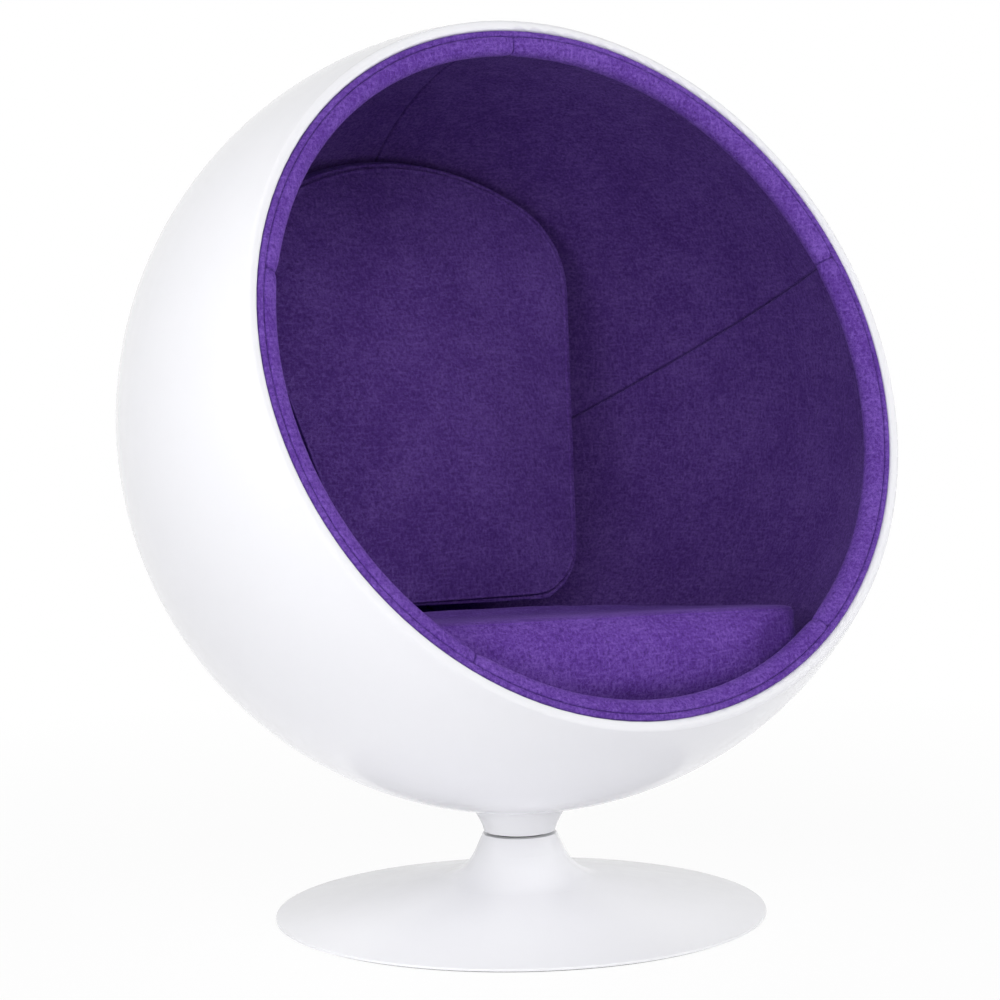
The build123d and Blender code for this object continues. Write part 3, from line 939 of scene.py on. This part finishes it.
@dataclass
class Lining:
    """Five wool gores that meet at the rear pole, with a sunk sewn seam between each two."""

    ball: Ball
    thickness: float = 0.0022
    seam_strip: float = math.radians(1.0)
    strip_steps: int = 10
    panel_steps: int = 46
    arc_steps: int = 72
    valley: float = 0.0032
    valley_width: float = 0.0016
    tuck: float = 0.006
    stitch_pitch: float = 0.0055
    stitch_length: float = 0.0042
    thread: float = 0.0011
    thread_depth: float = 0.7
    pole_stitches: int = 2

    def build(self, effects: Effects) -> None:
        """Makes the gores and the thread of their seams.

        Args:
            effects: the shared node groups.
        """
        for number in range(self.ball.seams):
            piece = self._gore(number)
            nodes = [f"lining_gore_{number + 1}"] + (["lining_foam"] if number == 0 else [])
            finish_piece(piece, WOOL, effects, Body.BALL, nodes)
        finish_piece(self._seam_thread(), THREAD, effects, Body.BALL)

    def _gore(self, number: int) -> bpy.types.Object:
        """One gore: an arc from rim to pole, spun through a fifth of a turn.

        Args:
            number: number of the gore, from 0.

        Returns:
            The gore, its seams sunk and its wall still a modifier.
        """
        ball = self.ball
        reach = ball.lining_radius
        rim_angle = ball.heel_angle + self.tuck / reach
        mesh = bmesh.new()
        start = mesh.verts.new((reach * math.cos(rim_angle), 0.0, reach * math.sin(rim_angle)))
        spin_on(mesh, [start], rim_angle + QUARTER_TURN, self.arc_steps, axis=REAR)
        begin = ball.seam_angle(number)
        bmesh.ops.transform(mesh, matrix=Matrix.Rotation(begin, 4, "Z"), verts=mesh.verts)
        wire = list(mesh.verts) + list(mesh.edges)
        wire = spin_on(mesh, wire, self.seam_strip, self.strip_steps)
        middle_strip = ball.panel_angle - 2.0 * self.seam_strip
        wire = spin_on(mesh, wire, middle_strip, self.panel_steps)
        spin_on(mesh, wire, self.seam_strip, self.strip_steps)
        for vert in mesh.verts:
            gap = ball.seam_distance(vert.co, begin)
            vert.co *= 1.0 + self.valley * bell(gap, self.valley_width) / reach
        bmesh.ops.remove_doubles(mesh, verts=mesh.verts, dist=WELD)
        bmesh.ops.recalc_face_normals(mesh, faces=mesh.faces)
        first = next(iter(mesh.faces))
        if first.normal.dot(first.calc_center_median()) > 0.0:
            bmesh.ops.reverse_faces(mesh, faces=mesh.faces)
        bmesh.ops.transform(mesh, matrix=ball.to_world, verts=mesh.verts)
        piece = new_piece(f"lining_panel_{number + 1}", mesh)
        wall = piece.modifiers.new("thickness", "SOLIDIFY")
        wall.thickness = self.thickness
        wall.offset = -1.0
        return piece

    def _seam_thread(self) -> bpy.types.Object:
        """Stitches in the bottom of each seam's valley, from the roll to near the pole.

        Returns:
            All the stitches as one piece.
        """
        ball = self.ball
        radius = ball.lining_radius + self.valley * self.thread_depth
        rim_angle = ball.heel_angle
        step = self.stitch_pitch / radius
        count = int((rim_angle + QUARTER_TURN) / step) - self.pole_stitches
        places = []
        for number in range(ball.seams):
            turn = ball.to_world @ Matrix.Rotation(ball.seam_angle(number), 4, "Z")
            for index in range(count):
                angle = rim_angle - (index + 0.5) * step
                sine, cosine = math.sin(angle), math.cos(angle)
                middle = turn @ Vector((radius * cosine, 0.0, radius * sine))
                along = turn.to_3x3() @ Vector((sine, 0.0, -cosine))
                places.append((middle, along, (ball.centre - middle).normalized()))
        return row_of_stitches("lining_seam_thread", places, self.stitch_length, self.thread)


@dataclass
class RimRoll:
    """Padded roll round the opening: a narrow sewn edge and five bands, pinched where they meet."""

    ball: Ball
    seam_gap: float = 0.0004
    edge_width: float = 0.0084
    edge_depth: float = 0.011
    edge_drop: float = 0.0012
    edge_round: float = 0.0032
    band_crown: float = 0.0045
    shoulder_round: float = 0.0045
    nose_round: float = 0.012
    crown_round: float = 0.004
    round_steps: int = 8
    seam_depth: float = 0.009
    heel_tuck: float = 0.004
    seam_strip: float = math.radians(0.5)
    seam_steps: int = 8
    end_strip: float = math.radians(3.0)
    strip_steps: int = 14
    band_steps: int = 72
    ring_steps: int = 360
    pinch: float = 0.0042
    pinch_reach: float = 0.0080
    crease: float = 0.0020
    crease_width: float = 0.0011
    core: Point = (0.4600, 0.1750)
    stitch_pitch: float = 0.0048
    stitch_length: float = 0.0036
    thread: float = 0.0010
    thread_depth: float = 0.9

    @property
    def seam_radius(self) -> float:
        """Radius of the seam between the sewn edge and the bands."""
        return self.ball.lip_radius - 2.0 * self.seam_gap - self.edge_width

    def build(self, effects: Effects) -> None:
        """Makes the sewn edge, the bands and their thread.

        Args:
            effects: the shared node groups.
        """
        finish_piece(self._edge(), RIM_WOOL_PAINTED_LIGHT, effects, Body.BALL, ["rim_welt"])
        for number in range(self.ball.seams):
            nodes = [f"rim_band_{number + 1}"] + (["rim_foam"] if number == 0 else [])
            finish_piece(self._band(number), RIM_WOOL_PAINTED_LIGHT, effects, Body.BALL, nodes)
        finish_piece(self._seam_thread(), THREAD, effects, Body.BALL)

    def _edge(self) -> bpy.types.Object:
        """Sewn edge between the lip and the bands, one full turn.

        Returns:
            The edge.
        """
        ball = self.ball
        outer = ball.lip_radius - self.seam_gap
        inner = outer - self.edge_width
        high = ball.opening - self.edge_drop
        low = high - self.edge_depth
        points = [(outer, low), (outer, high), (inner, high), (inner, low)]
        rounds = [0.0, self.edge_round, self.edge_round, 0.0]
        mesh = bmesh.new()
        rounded_wire(mesh, points, rounds, self.round_steps)
        wire = list(mesh.verts) + list(mesh.edges)
        spin_on(mesh, wire, FULL_TURN, self.ring_steps, merge=True)
        return self._closed("rim_sewn_edge", mesh)

    def _closed(self, name: str, mesh: bmesh.types.BMesh) -> bpy.types.Object:
        """Welds a spun part of the roll, turns its faces out and takes it to its place.

        Args:
            name: name of the piece.
            mesh: its mesh, in the opening's own frame.

        Returns:
            The piece.
        """
        bmesh.ops.remove_doubles(mesh, verts=mesh.verts, dist=FINE_WELD)
        bmesh.ops.recalc_face_normals(mesh, faces=mesh.faces)
        top = max(mesh.faces, key=lambda face: face.calc_center_median().z)
        if top.normal.z < 0.0:
            bmesh.ops.reverse_faces(mesh, faces=mesh.faces)
        bmesh.ops.transform(mesh, matrix=self.ball.to_world, verts=mesh.verts)
        return new_piece(name, mesh)

    def _band_section(self) -> list[Point]:
        """Corners of a band's section, from its seam over the crown and the nose to the heel.

        Returns:
            Radius and height of each corner along the opening's axis.
        """
        top = (self.seam_radius, self.ball.opening)
        nose = self.ball.nose
        heel = self.ball.heel
        slope = Vector((top[0] - nose[0], top[1] - nose[1]))
        square = Vector((-slope.y, slope.x)).normalized()
        middle = Vector(((top[0] + nose[0]) / 2.0, (top[1] + nose[1]) / 2.0))
        return [
            (top[0] + self.seam_gap, top[1] - self.seam_depth), top,
            tuple(middle + square * self.band_crown), nose,
            (heel[0] + self.heel_tuck, heel[1] - self.heel_tuck)]

    def _band(self, number: int) -> bpy.types.Object:
        """One band of the roll, pinched at both ends.

        Args:
            number: number of the band, from 0.

        Returns:
            The band.
        """
        ball = self.ball
        rounds = [0.0, self.shoulder_round, self.crown_round, self.nose_round, 0.0]
        mesh = bmesh.new()
        rounded_wire(mesh, self._band_section(), rounds, self.round_steps)
        begin = ball.seam_angle(number)
        bmesh.ops.transform(mesh, matrix=Matrix.Rotation(begin, 4, "Z"), verts=mesh.verts)
        wire = list(mesh.verts) + list(mesh.edges)
        seam = (self.seam_strip, self.seam_steps)
        end = (self.end_strip, self.strip_steps)
        middle_strip = ball.panel_angle - 2.0 * (self.seam_strip + self.end_strip)
        for angle, steps in (seam, end, (middle_strip, self.band_steps), end, seam):
            wire = spin_on(mesh, wire, angle, steps)
        for vert in mesh.verts:
            self._draw_in(vert, begin)
        return self._closed(f"rim_band_panel_{number + 1}", mesh)

    def _draw_in(self, vert: bmesh.types.BMVert, begin: float) -> None:
        """Moves a point of a band towards the roll's core, most at the band's ends.

        Args:
            vert: the point, in the opening's own frame.
            begin: angle of the seam at which the band begins.
        """
        radius = math.hypot(vert.co.x, vert.co.y)
        gap = self.ball.seam_distance(vert.co, begin)
        pull = self.pinch * math.exp(-gap / self.pinch_reach)
        pull += self.crease * bell(gap, self.crease_width)
        inward = Vector((self.core[0] - radius, self.core[1] - vert.co.z))
        if inward.length < pull or radius > self.seam_radius:
            return
        inward = inward.normalized() * pull
        share = (radius + inward.x) / radius
        vert.co.x *= share
        vert.co.y *= share
        vert.co.z += inward.y

    def _seam_thread(self) -> bpy.types.Object:
        """Stitches sunk in the seam between the sewn edge and the bands.

        Returns:
            All the stitches as one piece.
        """
        ball = self.ball
        height = ball.opening - self.edge_drop - self.edge_round * self.thread_depth
        count = int(FULL_TURN * self.seam_radius / self.stitch_pitch)
        places = []
        for index in range(count):
            turn = ball.to_world @ Matrix.Rotation(index * FULL_TURN / count, 4, "Z")
            middle = turn @ Vector((self.seam_radius, 0.0, height))
            places.append((middle, turn.to_3x3() @ REAR, ball.axis))
        return row_of_stitches("rim_seam_thread", places, self.stitch_length, self.thread)


# Cushions

@dataclass(frozen=True)
class SewnSeam:
    """Seam round a cushion in one plane: a sunk stitch line between two raised edges."""

    valley: float = 0.0026
    valley_width: float = 0.0011
    ridge: float = 0.0012
    ridge_place: float = 0.0027
    ridge_width: float = 0.0013
    cuts: tuple[float, ...] = (0.0, 0.0005, 0.0011, 0.0018, 0.0026, 0.0034, 0.0044, 0.0062)
    near: float = 0.016
    least_lean: float = 0.3

    def sew(self, piece: bpy.types.Object, place: Vector, square: Vector) -> None:
        """Cuts edge loops along the seam and moves them into its section.

        Args:
            piece: the cushion.
            place: a point in the seam's plane.
            square: the plane's normal.
        """
        mesh = bmesh.new()
        mesh.from_mesh(piece.data)
        for offset in sorted({sign * cut for cut in self.cuts for sign in (-1.0, 1.0)}):
            faces = [
                face for face in mesh.faces
                if abs((face.verts[0].co - place).dot(square)) < self.near]
            edges = {edge for face in faces for edge in face.edges}
            verts = {vert for face in faces for vert in face.verts}
            bmesh.ops.bisect_plane(
                mesh, geom=list(verts) + list(edges) + faces, dist=FINE_WELD,
                plane_co=place + square * offset, plane_no=square)
        mesh.normal_update()
        moves = []
        for vert in mesh.verts:
            rise = abs((vert.co - place).dot(square))
            if rise < self.near:
                lean = vert.normal.cross(square).length
                gap = rise / max(lean, self.least_lean)
                moves.append((vert, vert.normal * self._section(gap)))
        for vert, move in moves:
            vert.co += move
        mesh.to_mesh(piece.data)
        mesh.free()
        piece.data.shade_smooth()

    def _section(self, gap: float) -> float:
        """Height of the seam's section at a distance from its middle."""
        edge = self.ridge * bell(gap - self.ridge_place, self.ridge_width)
        return edge - self.valley * bell(gap, self.valley_width)


@dataclass
class Cushion:
    """A loose cushion: the solid's form, filled by a cloth simulation that its seams hold in."""

    ball: Ball
    name: str
    cover: str
    foam: str
    cloth: WoolFinish = WOOL
    seam: SewnSeam = SewnSeam()
    voxel: float = 0.008
    shrink: float = 0.007
    proud: float = 0.005
    pressure: float = 4.0
    quality: int = 5
    cloth_mass: float = 0.3
    frames: int = 20
    cap: float = 0.022
    fill: float = 0.75
    pin_width: float = 0.007
    room: float = 0.0006
    smoothing: int = 3
    smooth_factor: float = 0.5

    def build(self, effects: Effects) -> None:
        """Makes, fills, sews and dresses the cushion.

        Args:
            effects: the shared node groups.
        """
        piece = self._form()
        self._inflate(piece)
        self._smooth(piece)
        self._shape(piece)
        self._subdivide(piece)
        place, square = self.seam_plane()
        self.seam.sew(piece, place, square)
        finish_piece(piece, self.cloth, effects, Body.BALL, [self.cover, self.foam])

    def seam_plane(self) -> tuple[Vector, Vector]:
        """Point and normal of the plane of the finished seam."""
        raise NotImplementedError

    def seam_gap(self, point: Vector) -> float:
        """Distance of a point of the solid's form from the seam."""
        raise NotImplementedError

    def hold(self, point: Vector) -> Vector:
        """Point moved back into the room that the cushion has."""
        raise NotImplementedError

    def _form(self) -> bpy.types.Object:
        """Closed even mesh of the foam's form.

        Returns:
            The cushion as it is before its filling.
        """
        mesh = bmesh.new()
        mesh.from_mesh(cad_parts[self.foam].data)
        bmesh.ops.remove_doubles(mesh, verts=mesh.verts, dist=WELD)
        piece = new_piece(self.name, mesh)
        even = piece.modifiers.new("even", "REMESH")
        even.mode = "VOXEL"
        even.voxel_size = self.voxel
        self._bake(piece)
        return piece

    @staticmethod
    def _bake(piece: bpy.types.Object) -> None:
        """Applies a piece's modifiers to its mesh.

        Args:
            piece: the piece.
        """
        shown = piece.evaluated_get(bpy.context.evaluated_depsgraph_get())
        data = bpy.data.meshes.new_from_object(shown)
        piece.modifiers.clear()
        piece.data = data
        piece.data.shade_smooth()

    def _inflate(self, piece: bpy.types.Object) -> None:
        """Fills a slightly smaller form with pressure, its seams pinned.

        Args:
            piece: the cushion, whose swelling is limited afterwards.
        """
        rest = [vert.co.copy() for vert in piece.data.vertices]
        normals = [vert.normal.copy() for vert in piece.data.vertices]
        held = [bell(self.seam_gap(point), self.pin_width) for point in rest]
        pins = piece.vertex_groups.new(name="seams")
        for vert, normal, pin in zip(piece.data.vertices, normals, held):
            vert.co -= normal * self.shrink * (1.0 - pin)
            pins.add([vert.index], pin, "REPLACE")
        self._simulate(piece, pins.name)
        piece.vertex_groups.clear()
        for vert, start, normal in zip(piece.data.vertices, rest, normals):
            move = vert.co - start
            if move.length > self.cap:
                move = move * (self.cap / move.length)
            swell = move.dot(normal)
            if swell > 0.0:
                move += normal * (self.proud * math.tanh(swell / self.proud) - swell)
            vert.co = start + move

    def _simulate(self, piece: bpy.types.Object, pins: str) -> None:
        """Runs the cloth simulation and keeps its last frame.

        Args:
            piece: the cushion.
            pins: name of the vertex group that holds the seams.
        """
        cloth = piece.modifiers.new("filling", "CLOTH")
        cloth.settings.quality = self.quality
        cloth.settings.mass = self.cloth_mass
        cloth.settings.use_pressure = True
        cloth.settings.uniform_pressure_force = self.pressure
        cloth.settings.effector_weights.gravity = 0.0
        cloth.settings.vertex_group_mass = pins
        cloth.settings.pin_stiffness = 1.0
        cloth.point_cache.frame_start = 1
        cloth.point_cache.frame_end = self.frames
        for step in range(1, self.frames + 1):
            bpy.context.scene.frame_set(step)
        self._bake(piece)
        bpy.context.scene.frame_set(1)

    def _shape(self, piece: bpy.types.Object) -> None:
        """Keeps the cushion in its room."""
        for vert in piece.data.vertices:
            vert.co = self.hold(vert.co)

    def _smooth(self, piece: bpy.types.Object) -> None:
        """Softens the voxels' steps.

        Args:
            piece: the cushion.
        """
        mesh = bmesh.new()
        mesh.from_mesh(piece.data)
        for _ in range(self.smoothing):
            bmesh.ops.smooth_vert(
                mesh, verts=mesh.verts, factor=self.smooth_factor, use_axis_x=True,
                use_axis_y=True, use_axis_z=True)
        mesh.to_mesh(piece.data)
        mesh.free()

    def _subdivide(self, piece: bpy.types.Object) -> None:
        """Adds one level of subdivision.

        Args:
            piece: the cushion.
        """
        soft = piece.modifiers.new("soft", "SUBSURF")
        soft.levels = 1
        soft.render_levels = 1
        self._bake(piece)

    def in_bowl(self, point: Vector) -> Vector:
        """Point held inside the lining and clear of the roll.

        Args:
            point: a point in the chair's frame.

        Returns:
            The nearest allowed point, along the ball's radius or the opening's.
        """
        ball = self.ball
        reach = point - ball.centre
        limit = ball.cushion_radius - self.room
        if reach.length > limit:
            reach = reach * (limit / reach.length)
        along = reach.dot(ball.axis)
        across = reach - ball.axis * along
        heel = ball.heel
        nose = ball.nose
        if along > heel[1]:
            share = min((along - heel[1]) / (nose[1] - heel[1]), 1.0)
            roll = heel[0] + (nose[0] - heel[0]) * share - 2.0 * self.room
            if across.length > roll:
                across = across * (roll / across.length)
        return ball.centre + ball.axis * along + across


@dataclass
class SeatCushion(Cushion):
    """Seat cushion: full front against the roll, sewn top edge, lying slightly askew."""

    name: str = "seat_cushion"
    cover: str = "seat_cover"
    foam: str = "seat_foam"
    cloth: WoolFinish = SEAT_WOOL_PAINTED_LIGHT
    seam: SewnSeam = SewnSeam(valley=0.0013, ridge=0.0008)
    voxel: float = 0.009
    smoothing: int = 8
    tilt: float = math.radians(6.0)
    drop: float = 0.263
    crown: float = 0.012
    front_crown: float = 0.001
    crown_start: float = 0.0
    crown_end: float = 0.12
    crown_half: float = 0.25
    crown_side: float = 0.34
    lift: float = 0.007
    lift_start: float = 0.02
    lift_end: float = 0.1
    lift_half: float = 0.17
    lift_side: float = 0.3
    seam_depth: float = 0.006
    edge_round: float = 0.006
    lie: float = math.radians(-2.2)

    @property
    def to_seat(self) -> Matrix:
        """Carries the chair's frame to the seat's own, level with its top."""
        tilted = Matrix.Rotation(-self.tilt, 4, "X")
        return (Matrix.Translation(self.ball.centre) @ tilted).inverted()

    @property
    def askew(self) -> Matrix:
        """Turn about the opening's axis with which the cushion lies in the bowl."""
        middle = Matrix.Translation(self.ball.centre)
        return middle @ Matrix.Rotation(self.lie, 4, self.ball.axis) @ middle.inverted()

    def top_height(self, point: Vector) -> float:
        """Height of a point over the top of the cushion as it lies."""
        seat = self.to_seat @ self.askew.inverted() @ point
        return seat.z + self.drop - self.crown - self._lifted(seat)

    def _lifted(self, seat: Vector) -> float:
        """Extra height of the filling under the back cushion."""
        rise = smooth_step(seat.y, self.lift_start, self.lift_end)
        return self.lift * rise * (1.0 - smooth_step(abs(seat.x), self.lift_half, self.lift_side))

    def seam_plane(self) -> tuple[Vector, Vector]:
        """Level just under the top edge, as the cushion lies."""
        lie = self.askew @ self.to_seat.inverted()
        return lie @ Vector((0.0, 0.0, -self.drop - self.seam_depth)), lie.to_3x3() @ UP

    def seam_gap(self, point: Vector) -> float:
        """Distance from the level of the sewn top edge."""
        return abs((self.to_seat @ point).z + self.drop)

    def hold(self, point: Vector) -> Vector:
        """Point in the bowl and under the top, flat at the front, turned as the cushion lies.

        Args:
            point: a point of the filled form, in the chair's frame.

        Returns:
            Its place on the finished cushion.
        """
        seat = self.to_seat @ self.in_bowl(point)
        rise = smooth_step(seat.y, self.crown_start, self.crown_end)
        rise *= 1.0 - smooth_step(abs(seat.x), self.crown_half, self.crown_side)
        limit = self.front_crown + (self.crown - self.front_crown) * rise - self.drop
        knee = limit - self.edge_round
        if seat.z > knee:
            seat.z = knee + self.edge_round * math.tanh((seat.z - knee) / self.edge_round)
            seat.z += self._lifted(seat)
        return self.askew @ (self.to_seat.inverted() @ seat)


@dataclass
class BackCushion(Cushion):
    """Back cushion: arched front panel with a sewn edge, standing on the seat."""

    seat: SeatCushion | None = None
    name: str = "back_cushion"
    cover: str = "back_cover"
    foam: str = "back_foam"
    seam: SewnSeam = SewnSeam(
        valley=0.0034, valley_width=0.0015, ridge=0.0024, ridge_place=0.004, ridge_width=0.0018)
    voxel: float = 0.007
    shrink: float = 0.003
    cap: float = 0.006
    lean: float = math.radians(20.0)
    offset: float = 0.188
    seam_rise: float = 0.003
    foot_blend: float = 0.12
    sag: float = 0.008
    sag_reach: float = 0.06
    head_rise: float = 0.011
    head_start: float = 0.25
    head_end: float = 0.43
    corner_rise: float = 0.022
    corner_reach: float = 0.1
    corner_start: float = 0.12
    corner_end: float = 0.25
    seat_gap: float = 0.0015

    @property
    def to_back(self) -> Matrix:
        """Carries the chair's frame to the cushion's own, with Z out of its front."""
        turn = turn_to(RIGHT, *leaning(self.lean))
        return (Matrix.Translation(self.ball.centre) @ turn).inverted()

    def seam_plane(self) -> tuple[Vector, Vector]:
        """Plane in which the front panel meets the border."""
        back = self.to_back.inverted()
        return back @ Vector((0.0, 0.0, self.seam_rise - self.offset)), back.to_3x3() @ UP

    def seam_gap(self, point: Vector) -> float:
        """Distance from the level of the front panel's seam."""
        return abs((self.to_back @ point).z + self.offset - self.seam_rise)

    def hold(self, point: Vector) -> Vector:
        """Point in the bowl, with a full head, round lower corners and the foot on the seat.

        Args:
            point: a point of the filled form, in the chair's frame.

        Returns:
            Its place on the finished cushion.
        """
        back = self.to_back @ point
        back.y += self.head_rise * smooth_step(back.y, self.head_start, self.head_end)
        side = smooth_step(abs(back.x), self.corner_start, self.corner_end)
        point = self.in_bowl(self.to_back.inverted() @ back)
        level = (self.seat.to_seat @ point).z + self.seat.drop - self.seat.crown
        share = max(0.0, 1.0 - level / self.foot_blend)
        over = self.seat.top_height(point)
        low = max(0.0, 1.0 - level / self.sag_reach)
        corner = max(0.0, 1.0 - level / self.corner_reach)
        drop = (over - level) * share * share + self.sag * low * low * (1.0 - side)
        drop -= self.corner_rise * corner * corner * side
        point = point - UP * drop
        short = self.seat_gap - self.seat.top_height(point)
        if short > 0.0:
            point = point + UP * short
        return point


# Foot and swivel

@dataclass
class Foot:
    """Trumpet foot, its collar and the felt under it, kept from the solids."""

    enamelled: tuple[str, ...] = ("pedestal", "collar")
    pad: str = "floor_pad"

    def build(self, effects: Effects) -> None:
        """Dresses the foot.

        Args:
            effects: the shared node groups.
        """
        for node in self.enamelled:
            dress_node(node, FOOT_WHITE, effects)
        dress_node(self.pad, FELT, effects)


@dataclass
class Swivel:
    """Bearing, spindle and fastenings inside the foot, kept from the solids."""

    steel: tuple[str, ...] = ("base_plate", "swivel_tube", "spindle")
    zinc: tuple[str, ...] = (
        "tube_bolts", "mounting_bolts", "mounting_washers", "retaining_washer", "retaining_ring")
    bearing: tuple[str, ...] = ("lower_race", "upper_race", "bearing_balls", "bearing_cage")
    nylon: tuple[str, ...] = ("lower_bush", "upper_bush")
    plywood: tuple[str, ...] = ("mounting_disc",)

    def build(self, effects: Effects) -> None:
        """Dresses each inner piece.

        Args:
            effects: the shared node groups.
        """
        groups = (
            (self.steel, STEEL), (self.zinc, ZINC), (self.bearing, BEARING_STEEL),
            (self.nylon, NYLON), (self.plywood, PLYWOOD))
        for nodes, finish in groups:
            for node in nodes:
                dress_node(node, finish, effects)


# Studio

@dataclass(frozen=True)
class Softbox:
    """A square area lamp that points at the chair."""

    name: str
    place: Triple
    size: float
    power: float

    def build(self, aim: Vector) -> None:
        """Adds the lamp, turned to a point.

        Args:
            aim: the point.
        """
        lamp = bpy.data.lights.new(self.name, "AREA")
        lamp.size = self.size
        lamp.energy = self.power
        holder = bpy.data.objects.new(self.name, lamp)
        holder.location = self.place
        holder.rotation_euler = (aim - holder.location).to_track_quat("-Z", "Y").to_euler()
        holder.visible_glossy = False
        holder.visible_camera = False
        bpy.context.scene.collection.objects.link(holder)


@dataclass
class Studio:
    """White floor and surround, soft lamps and the camera of the photograph."""

    aim: Triple = (0.0, 0.0, 0.65)
    camera_place: Triple = (-2.0094, -3.14894, 0.87013)
    camera_view: Triple = (0.531935, 0.842746, -0.082611)
    camera_roll: float = math.radians(-1.0507)
    lens: float = 100.8
    sensor: float = 36.0
    floor_size: float = 30.0
    floor_colour: Colour = (0.86, 0.86, 0.87, 1.0)
    floor_white: float = 0.95
    shadow_reach: float = 0.7
    floor_fade: float = 2.0
    world_light: float = 0.04
    softboxes: tuple[Softbox, ...] = (
        Softbox("front_box", (0.0, -4.4, 2.2), 2.0, 36.0),
        Softbox("high_front_box", (-1.8, -3.4, 3.4), 2.6, 66.0),
        Softbox("left_front_box", (-4.0, -1.6, 1.8), 2.0, 22.0),
        Softbox("low_left_box", (-3.2, -2.4, 0.7), 1.4, 32.0),
        Softbox("right_front_box", (3.7, -2.2, 1.6), 2.0, 84.0),
        Softbox("left_box", (-4.2, 0.3, 2.0), 2.4, 41.0),
        Softbox("top_left_box", (-2.4, 0.6, 3.8), 2.4, 32.0),
        Softbox("rear_box", (1.6, 4.4, 2.4), 2.4, 28.0),
        Softbox("floor_glow", (0.0, 0.0, 0.004), 1.1, 0.95),
    )

    def build(self) -> None:
        """Makes the studio."""
        self._world()
        self._floor()
        for softbox in self.softboxes:
            softbox.build(Vector(self.aim))
        self._camera()
        bpy.context.scene.view_settings.view_transform = "Standard"

    @staticmethod
    def _seen(graph: Graph) -> Socket:
        """Mask of the rays that are seen.

        Args:
            graph: the graph that reads it.

        Returns:
            1 for rays from the camera and for those that gloss or glass sends on.
        """
        path = graph.add("ShaderNodeLightPath").outputs
        gloss = graph.larger(path["Is Glossy Ray"], path["Is Transmission Ray"])
        return graph.larger(path["Is Camera Ray"], gloss)

    def _world(self) -> None:
        """Even light from all round, seen as white."""
        world = bpy.data.worlds.new("studio white")
        bpy.context.scene.world = world
        world.use_nodes = True
        world.node_tree.nodes.clear()
        graph = Graph(world.node_tree)
        light = graph.remap(self._seen(graph), (0.0, 1.0), (self.world_light, 1.0))
        inputs = {"Color": (1.0, 1.0, 1.0, 1.0), "Strength": light}
        white = graph.add("ShaderNodeBackground", inputs)
        output = graph.add("ShaderNodeOutputWorld")
        graph.feed(output.inputs["Surface"], white.outputs[0])

    def _floor(self) -> None:
        """Wide white floor that keeps the chair's shadow."""
        mesh = bmesh.new()
        bmesh.ops.create_grid(mesh, x_segments=1, y_segments=1, size=self.floor_size)
        floor = new_piece("studio_floor", mesh)
        material = bpy.data.materials.new("studio floor")
        material.use_nodes = True
        material.node_tree.nodes.clear()
        graph = Graph(material.node_tree)
        matte = graph.add("ShaderNodeBsdfDiffuse", {"Color": self.floor_colour}).outputs[0]
        white = graph.add("ShaderNodeEmission", {"Strength": 1.0}).outputs[0]
        place = graph.add("ShaderNodeTexCoord").outputs["Object"]
        length = graph.add("ShaderNodeVectorMath", {0: place}, operation="LENGTH")
        fade = (self.shadow_reach, self.floor_fade)
        far = graph.remap(length.outputs["Value"], fade, (self.floor_white, 1.0))
        share = graph.times(self._seen(graph), far)
        mixed = graph.add("ShaderNodeMixShader", {0: share, 1: matte, 2: white}).outputs[0]
        output = graph.add("ShaderNodeOutputMaterial")
        graph.feed(output.inputs["Surface"], mixed)
        floor.data.materials.append(material)

    def _camera(self) -> None:
        """Camera at the photograph's place, with its slight roll."""
        lens = bpy.data.cameras.new("camera")
        lens.sensor_width = self.sensor
        lens.lens = self.lens
        camera = bpy.data.objects.new("camera", lens)
        back = -Vector(self.camera_view).normalized()
        level = UP.cross(back).normalized()
        upright = back.cross(level)
        right = level * math.cos(self.camera_roll) + upright * math.sin(self.camera_roll)
        turn = turn_to(right, back.cross(right), back)
        camera.matrix_world = Matrix.Translation(self.camera_place) @ turn
        bpy.context.scene.collection.objects.link(camera)
        bpy.context.scene.camera = camera


def main() -> None:
    """Builds each sub-assembly in order, then the studio."""
    logging.basicConfig(level=logging.INFO, format="%(name)s %(message)s")
    effects = Effects()
    ball = Ball()
    seat = SeatCushion(ball)
    back = BackCushion(ball, seat=seat)
    for assembly in (Shell(), Lining(ball), RimRoll(ball), seat, back, Foot(), Swivel()):
        assembly.build(effects)
    Studio().build()


if __name__ == "__main__":
    main()
